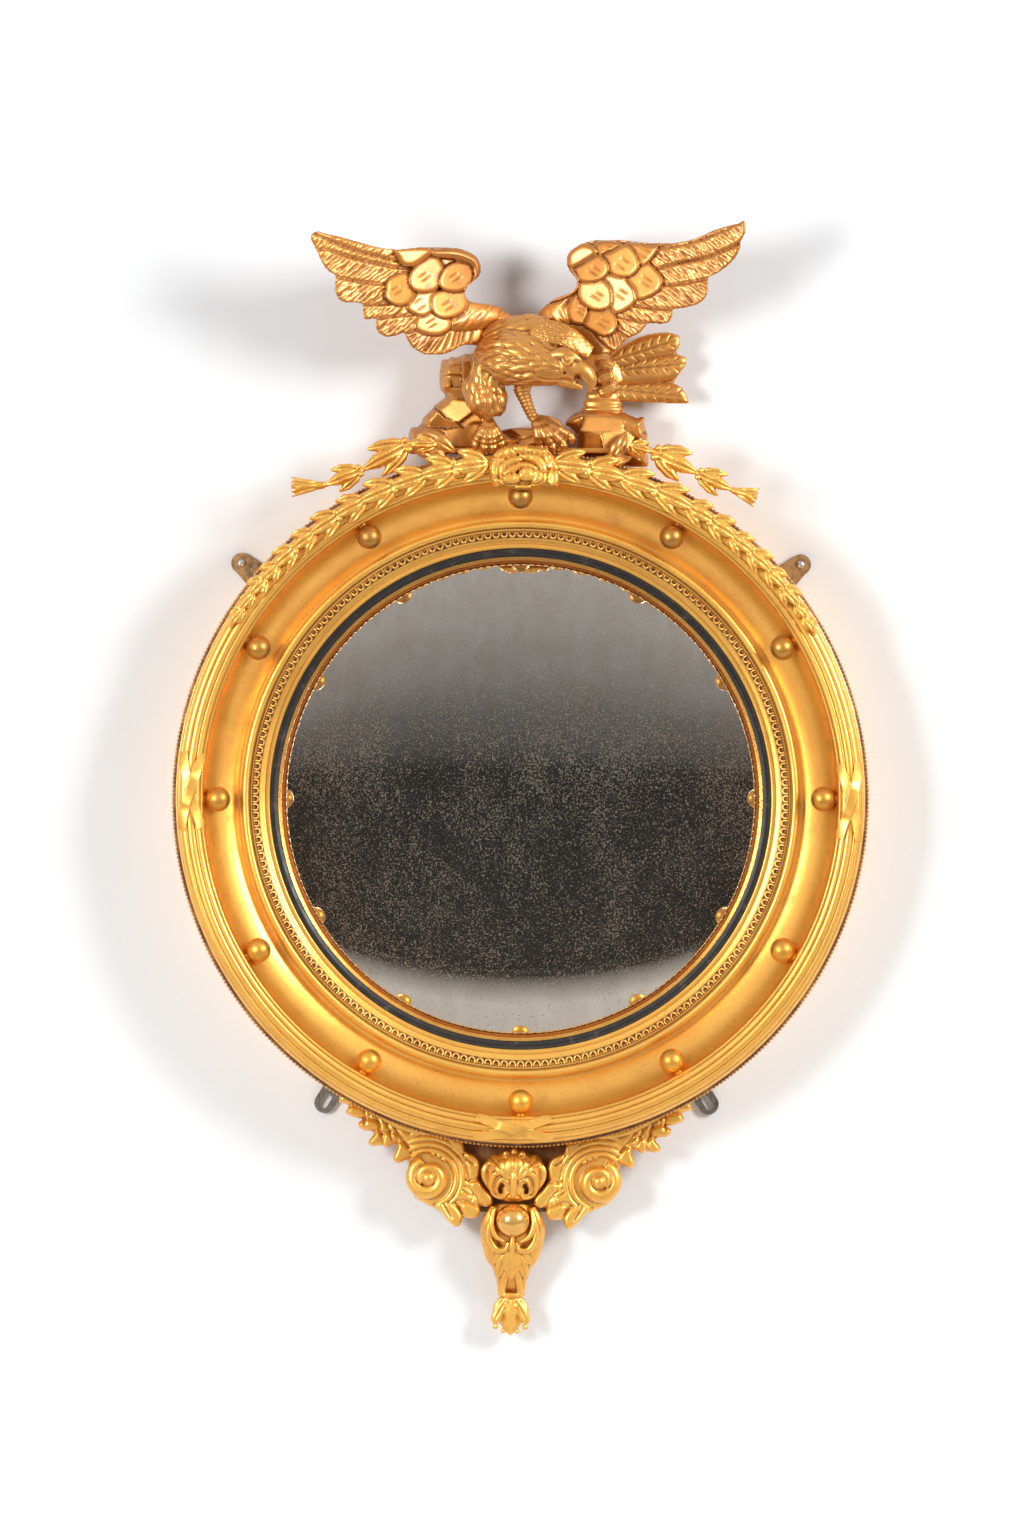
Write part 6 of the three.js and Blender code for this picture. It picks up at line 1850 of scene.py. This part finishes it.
def camera():
    data = bpy.data.cameras.new("camera")
    data.sensor_fit = "VERTICAL"
    data.sensor_height = 36
    data.lens = 36 * (CAMERA_DISTANCE - PICTURE_PLANE) / (IMAGE[1] * PIXEL)
    data.clip_end = 60
    eye = bpy.data.objects.new("camera", data)
    eye.location = (VIEW_CENTRE[0], -CAMERA_DISTANCE, VIEW_CENTRE[1])
    eye.rotation_euler = (math.radians(90), 0, 0)
    bpy.context.scene.collection.objects.link(eye)
    bpy.context.scene.camera = eye


def softbox(name, azimuth, elevation, distance, width, height, power):
    """A soft lamp that looks at the ring's middle; azimuth is to the right of the view's axis."""
    data = bpy.data.lights.new(name, "AREA")
    data.shape = "RECTANGLE"
    data.size, data.size_y = width, height
    data.energy = power
    lamp = bpy.data.objects.new(name, data)
    az, el = math.radians(azimuth), math.radians(elevation)
    offset = Vector((math.sin(az) * math.cos(el), -math.cos(az) * math.cos(el), math.sin(el)))
    lamp.location = offset * distance
    lamp.rotation_euler = (-lamp.location).to_track_quat("-Z", "Y").to_euler()
    bpy.context.scene.collection.objects.link(lamp)
    return lamp


def world():
    made = bpy.data.worlds.new("studio")
    bpy.context.scene.world = made
    made.use_nodes = True
    tree = made.node_tree
    tree.nodes.clear()
    path = tree.nodes.new("ShaderNodeLightPath")
    looked = tree.nodes.new("ShaderNodeMath")
    looked.operation = "MAXIMUM"
    tree.links.new(path.outputs["Is Camera Ray"], looked.inputs[0])
    both = tree.nodes.new("ShaderNodeMath")
    both.operation = "MAXIMUM"
    tree.links.new(path.outputs["Is Glossy Ray"], looked.inputs[1])
    tree.links.new(looked.outputs[0], both.inputs[0])
    tree.links.new(path.outputs["Is Transmission Ray"], both.inputs[1])
    strength = tree.nodes.new("ShaderNodeMapRange")
    strength.inputs["To Min"].default_value = WORLD_FILL
    strength.inputs["To Max"].default_value = 1.0
    tree.links.new(both.outputs[0], strength.inputs["Value"])
    light = tree.nodes.new("ShaderNodeBackground")
    tree.links.new(strength.outputs[0], light.inputs["Strength"])
    out = tree.nodes.new("ShaderNodeOutputWorld")
    tree.links.new(light.outputs[0], out.inputs["Surface"])


def plain(name, colour, rough=0.9, one_sided=False):
    n = Nodes(name)
    n.finish(Base_Color=colour, Roughness=rough)
    n.shader.inputs["Specular IOR Level"].default_value = 0.1
    if one_sided:
        mix = n.node("MixShader")
        n.link(n.node("NewGeometry").outputs["Backfacing"], mix.inputs[0])
        n.link(n.shader.outputs[0], mix.inputs[1])
        n.link(n.node("BsdfTransparent").outputs[0], mix.inputs[2])
        n.link(mix.outputs[0], n.out.inputs["Surface"])
    return n.material


def floor_material():
    """White paint; to mirror-sharp rays a painted reflection instead: a dim grey that fades to near black
    towards its front edge.
    """
    n = Nodes("floor_with_painted_reflection")
    place = n.node("SeparateXYZ")
    n.link(n.place, place.inputs[0])
    # Painted reflection, seen only by mirror-sharp rays: grey near the wall, near black at the front edge.
    fade = n.mix(n.span(place.outputs["Y"], *FLOOR_FADE), rgb(0.012, 0.011, 0.010), rgb(0.53, 0.525, 0.515))
    mirrored = n.node("LightPath").outputs["Is Singular Ray"]
    n.finish(Base_Color=n.mix(mirrored, rgb(0.88, 0.87, 0.85), fade), Roughness=0.9)
    n.shader.inputs["Specular IOR Level"].default_value = 0.1
    return n.material


def sheet(name, corners, material, hole=None):
    """A flat stage sheet from its corners in metres, with a round hole cut through if one is given."""
    if hole is None:
        mesh = bpy.data.meshes.new(name)
        mesh.from_pydata(corners, [], [(0, 1, 2, 3)])
    else:
        radius, steps = hole, 96
        inner = [(radius * math.sin(2 * math.pi * k / steps), corners[0][1],
                  radius * math.cos(2 * math.pi * k / steps)) for k in range(steps)]
        xs = [c[0] for c in corners]
        zs = [c[2] for c in corners]
        outer = []
        for x, y, z in inner:
            reach = min((max(xs) if x > 0 else min(xs)) / x if abs(x) > 1e-6 else 1e9,
                        (max(zs) if z > 0 else min(zs)) / z if abs(z) > 1e-6 else 1e9)
            outer.append((x * reach, y, z * reach))
        mesh = bpy.data.meshes.new(name)
        faces = [(k, (k + 1) % steps, steps + (k + 1) % steps, steps + k) for k in range(steps)]
        mesh.from_pydata(inner + outer, [], faces)
    mesh.materials.append(material)
    stage = bpy.data.objects.new(name, mesh)
    bpy.context.scene.collection.objects.link(stage)
    return stage


def studio():
    wall_paint = plain("wall_paint", rgb(0.91, 0.92, 0.93), one_sided=True)
    floor_with_painted_reflection = floor_material()
    side = high = WALL_REACH
    wall = sheet("wall",
                 [(-side, WALL_GAP, FLOOR_LEVEL), (side, WALL_GAP, FLOOR_LEVEL), (side, WALL_GAP, high),
                  (-side, WALL_GAP, high)], wall_paint, hole=WALL_HOLE)
    face_to(wall, -1)
    sheet("floor",
          [(-side, WALL_GAP, FLOOR_LEVEL), (-side, -FLOOR_REACH, FLOOR_LEVEL),
           (side, -FLOOR_REACH, FLOOR_LEVEL), (side, WALL_GAP, FLOOR_LEVEL)], floor_with_painted_reflection)
    # A glowing sheet on the camera's side that only reflections see: a painted reflection, near black to
    # mirror-sharp rays and grey to blurred ones, both lighter higher up.
    dark = Nodes("painted_reflection_card")
    height = dark.node("SeparateXYZ")
    dark.link(dark.place, height.inputs[0])
    glow = dark.ramp(dark.span(height.outputs["Z"], 0.0, 5.0), (0.08, 0.012), (0.14, 0.058),
                     (0.26, 0.118), (0.39, 0.224), (0.65, 0.355), (1.0, 0.44))
    room = dark.ramp(dark.span(height.outputs["Z"], -3.0, 5.0), (0.0, 0.38), (0.37, 0.62), (0.65, 0.82),
                     (1.0, 0.95))
    path = dark.node("LightPath")
    lit = dark.node("Emission")
    dark.link(dark.mix(path.outputs["Is Singular Ray"], room, glow), lit.inputs["Color"])
    dark.link(lit.outputs[0], dark.out.inputs["Surface"])
    reach = CARD_HALF_WIDTH
    card = sheet("painted_reflection_card",
                 [(-reach, -CARD_DISTANCE, -reach), (reach, -CARD_DISTANCE, -reach),
                  (reach, -CARD_DISTANCE, reach), (-reach, -CARD_DISTANCE, reach)], dark.material)
    card.visible_camera = False
    card.visible_diffuse = False
    card.visible_shadow = False
    card.visible_transmission = False


def face_to(stage, way):
    """Turns a sheet's faces so that their normals point along -Y or +Y."""
    mesh = stage.data
    if mesh.polygons[0].normal.y * way < 0:
        mesh.flip_normals()


def lamps():
    keep_off = bpy.data.collections.new("without_glass")
    keep_off.objects.link(bpy.data.objects["mirror_silvered"])
    keep_off.collection_objects[0].light_linking.link_state = "EXCLUDE"
    for name, settings in (("lamp_right", RIGHT_LAMP), ("lamp_left", LEFT_LAMP)):
        lamp = softbox(name, **settings)
        lamp.light_linking.receiver_collection = keep_off


# ---- Making it ------------------------------------------------------------------------------------
camera()
main_frame()
bead_edge()
sight_ornament()
mirror_glass()
slip()
for index in range(BALL_COUNT):
    moulding_ball(index)
for make in (left_wing, right_wing, eagle_body, left_leg, right_leg, left_rock, right_rock, crest_base,
             tail, rosette, left_spray, right_spray):
    make()
for hand in ("left", "right"):
    swag(hand)
    apron_scroll(hand)
    eased(f"ear_{hand}", ear_iron, "ear_iron")
    eased(f"slotted_plate_{hand}", plate_steel, "plate_steel")
    screw(f"ear_{hand}_screw", "slot")
    screw(f"slotted_{hand}_screw", "slot")
screw("wall_screw_left", "square", head_first=True)
screw("wall_screw_right", "cross", head_first=True)
for tie in TIES:
    ribbon_tie(tie)
apron_boss()
pendant()
for index in (1, 2, 3):
    eased(f"backboard_{index}", raw_pine, "pine", 0.8)
for index in range(1, 7):
    screw(f"board_screw_{index}", "slot")
eased("retaining_hoop", raw_pine, "pine", 0.5)
eased("apron_cleat", raw_pine, "pine", 1.0)

world()
studio()
lamps()
bpy.context.scene.view_settings.view_transform = "Standard"
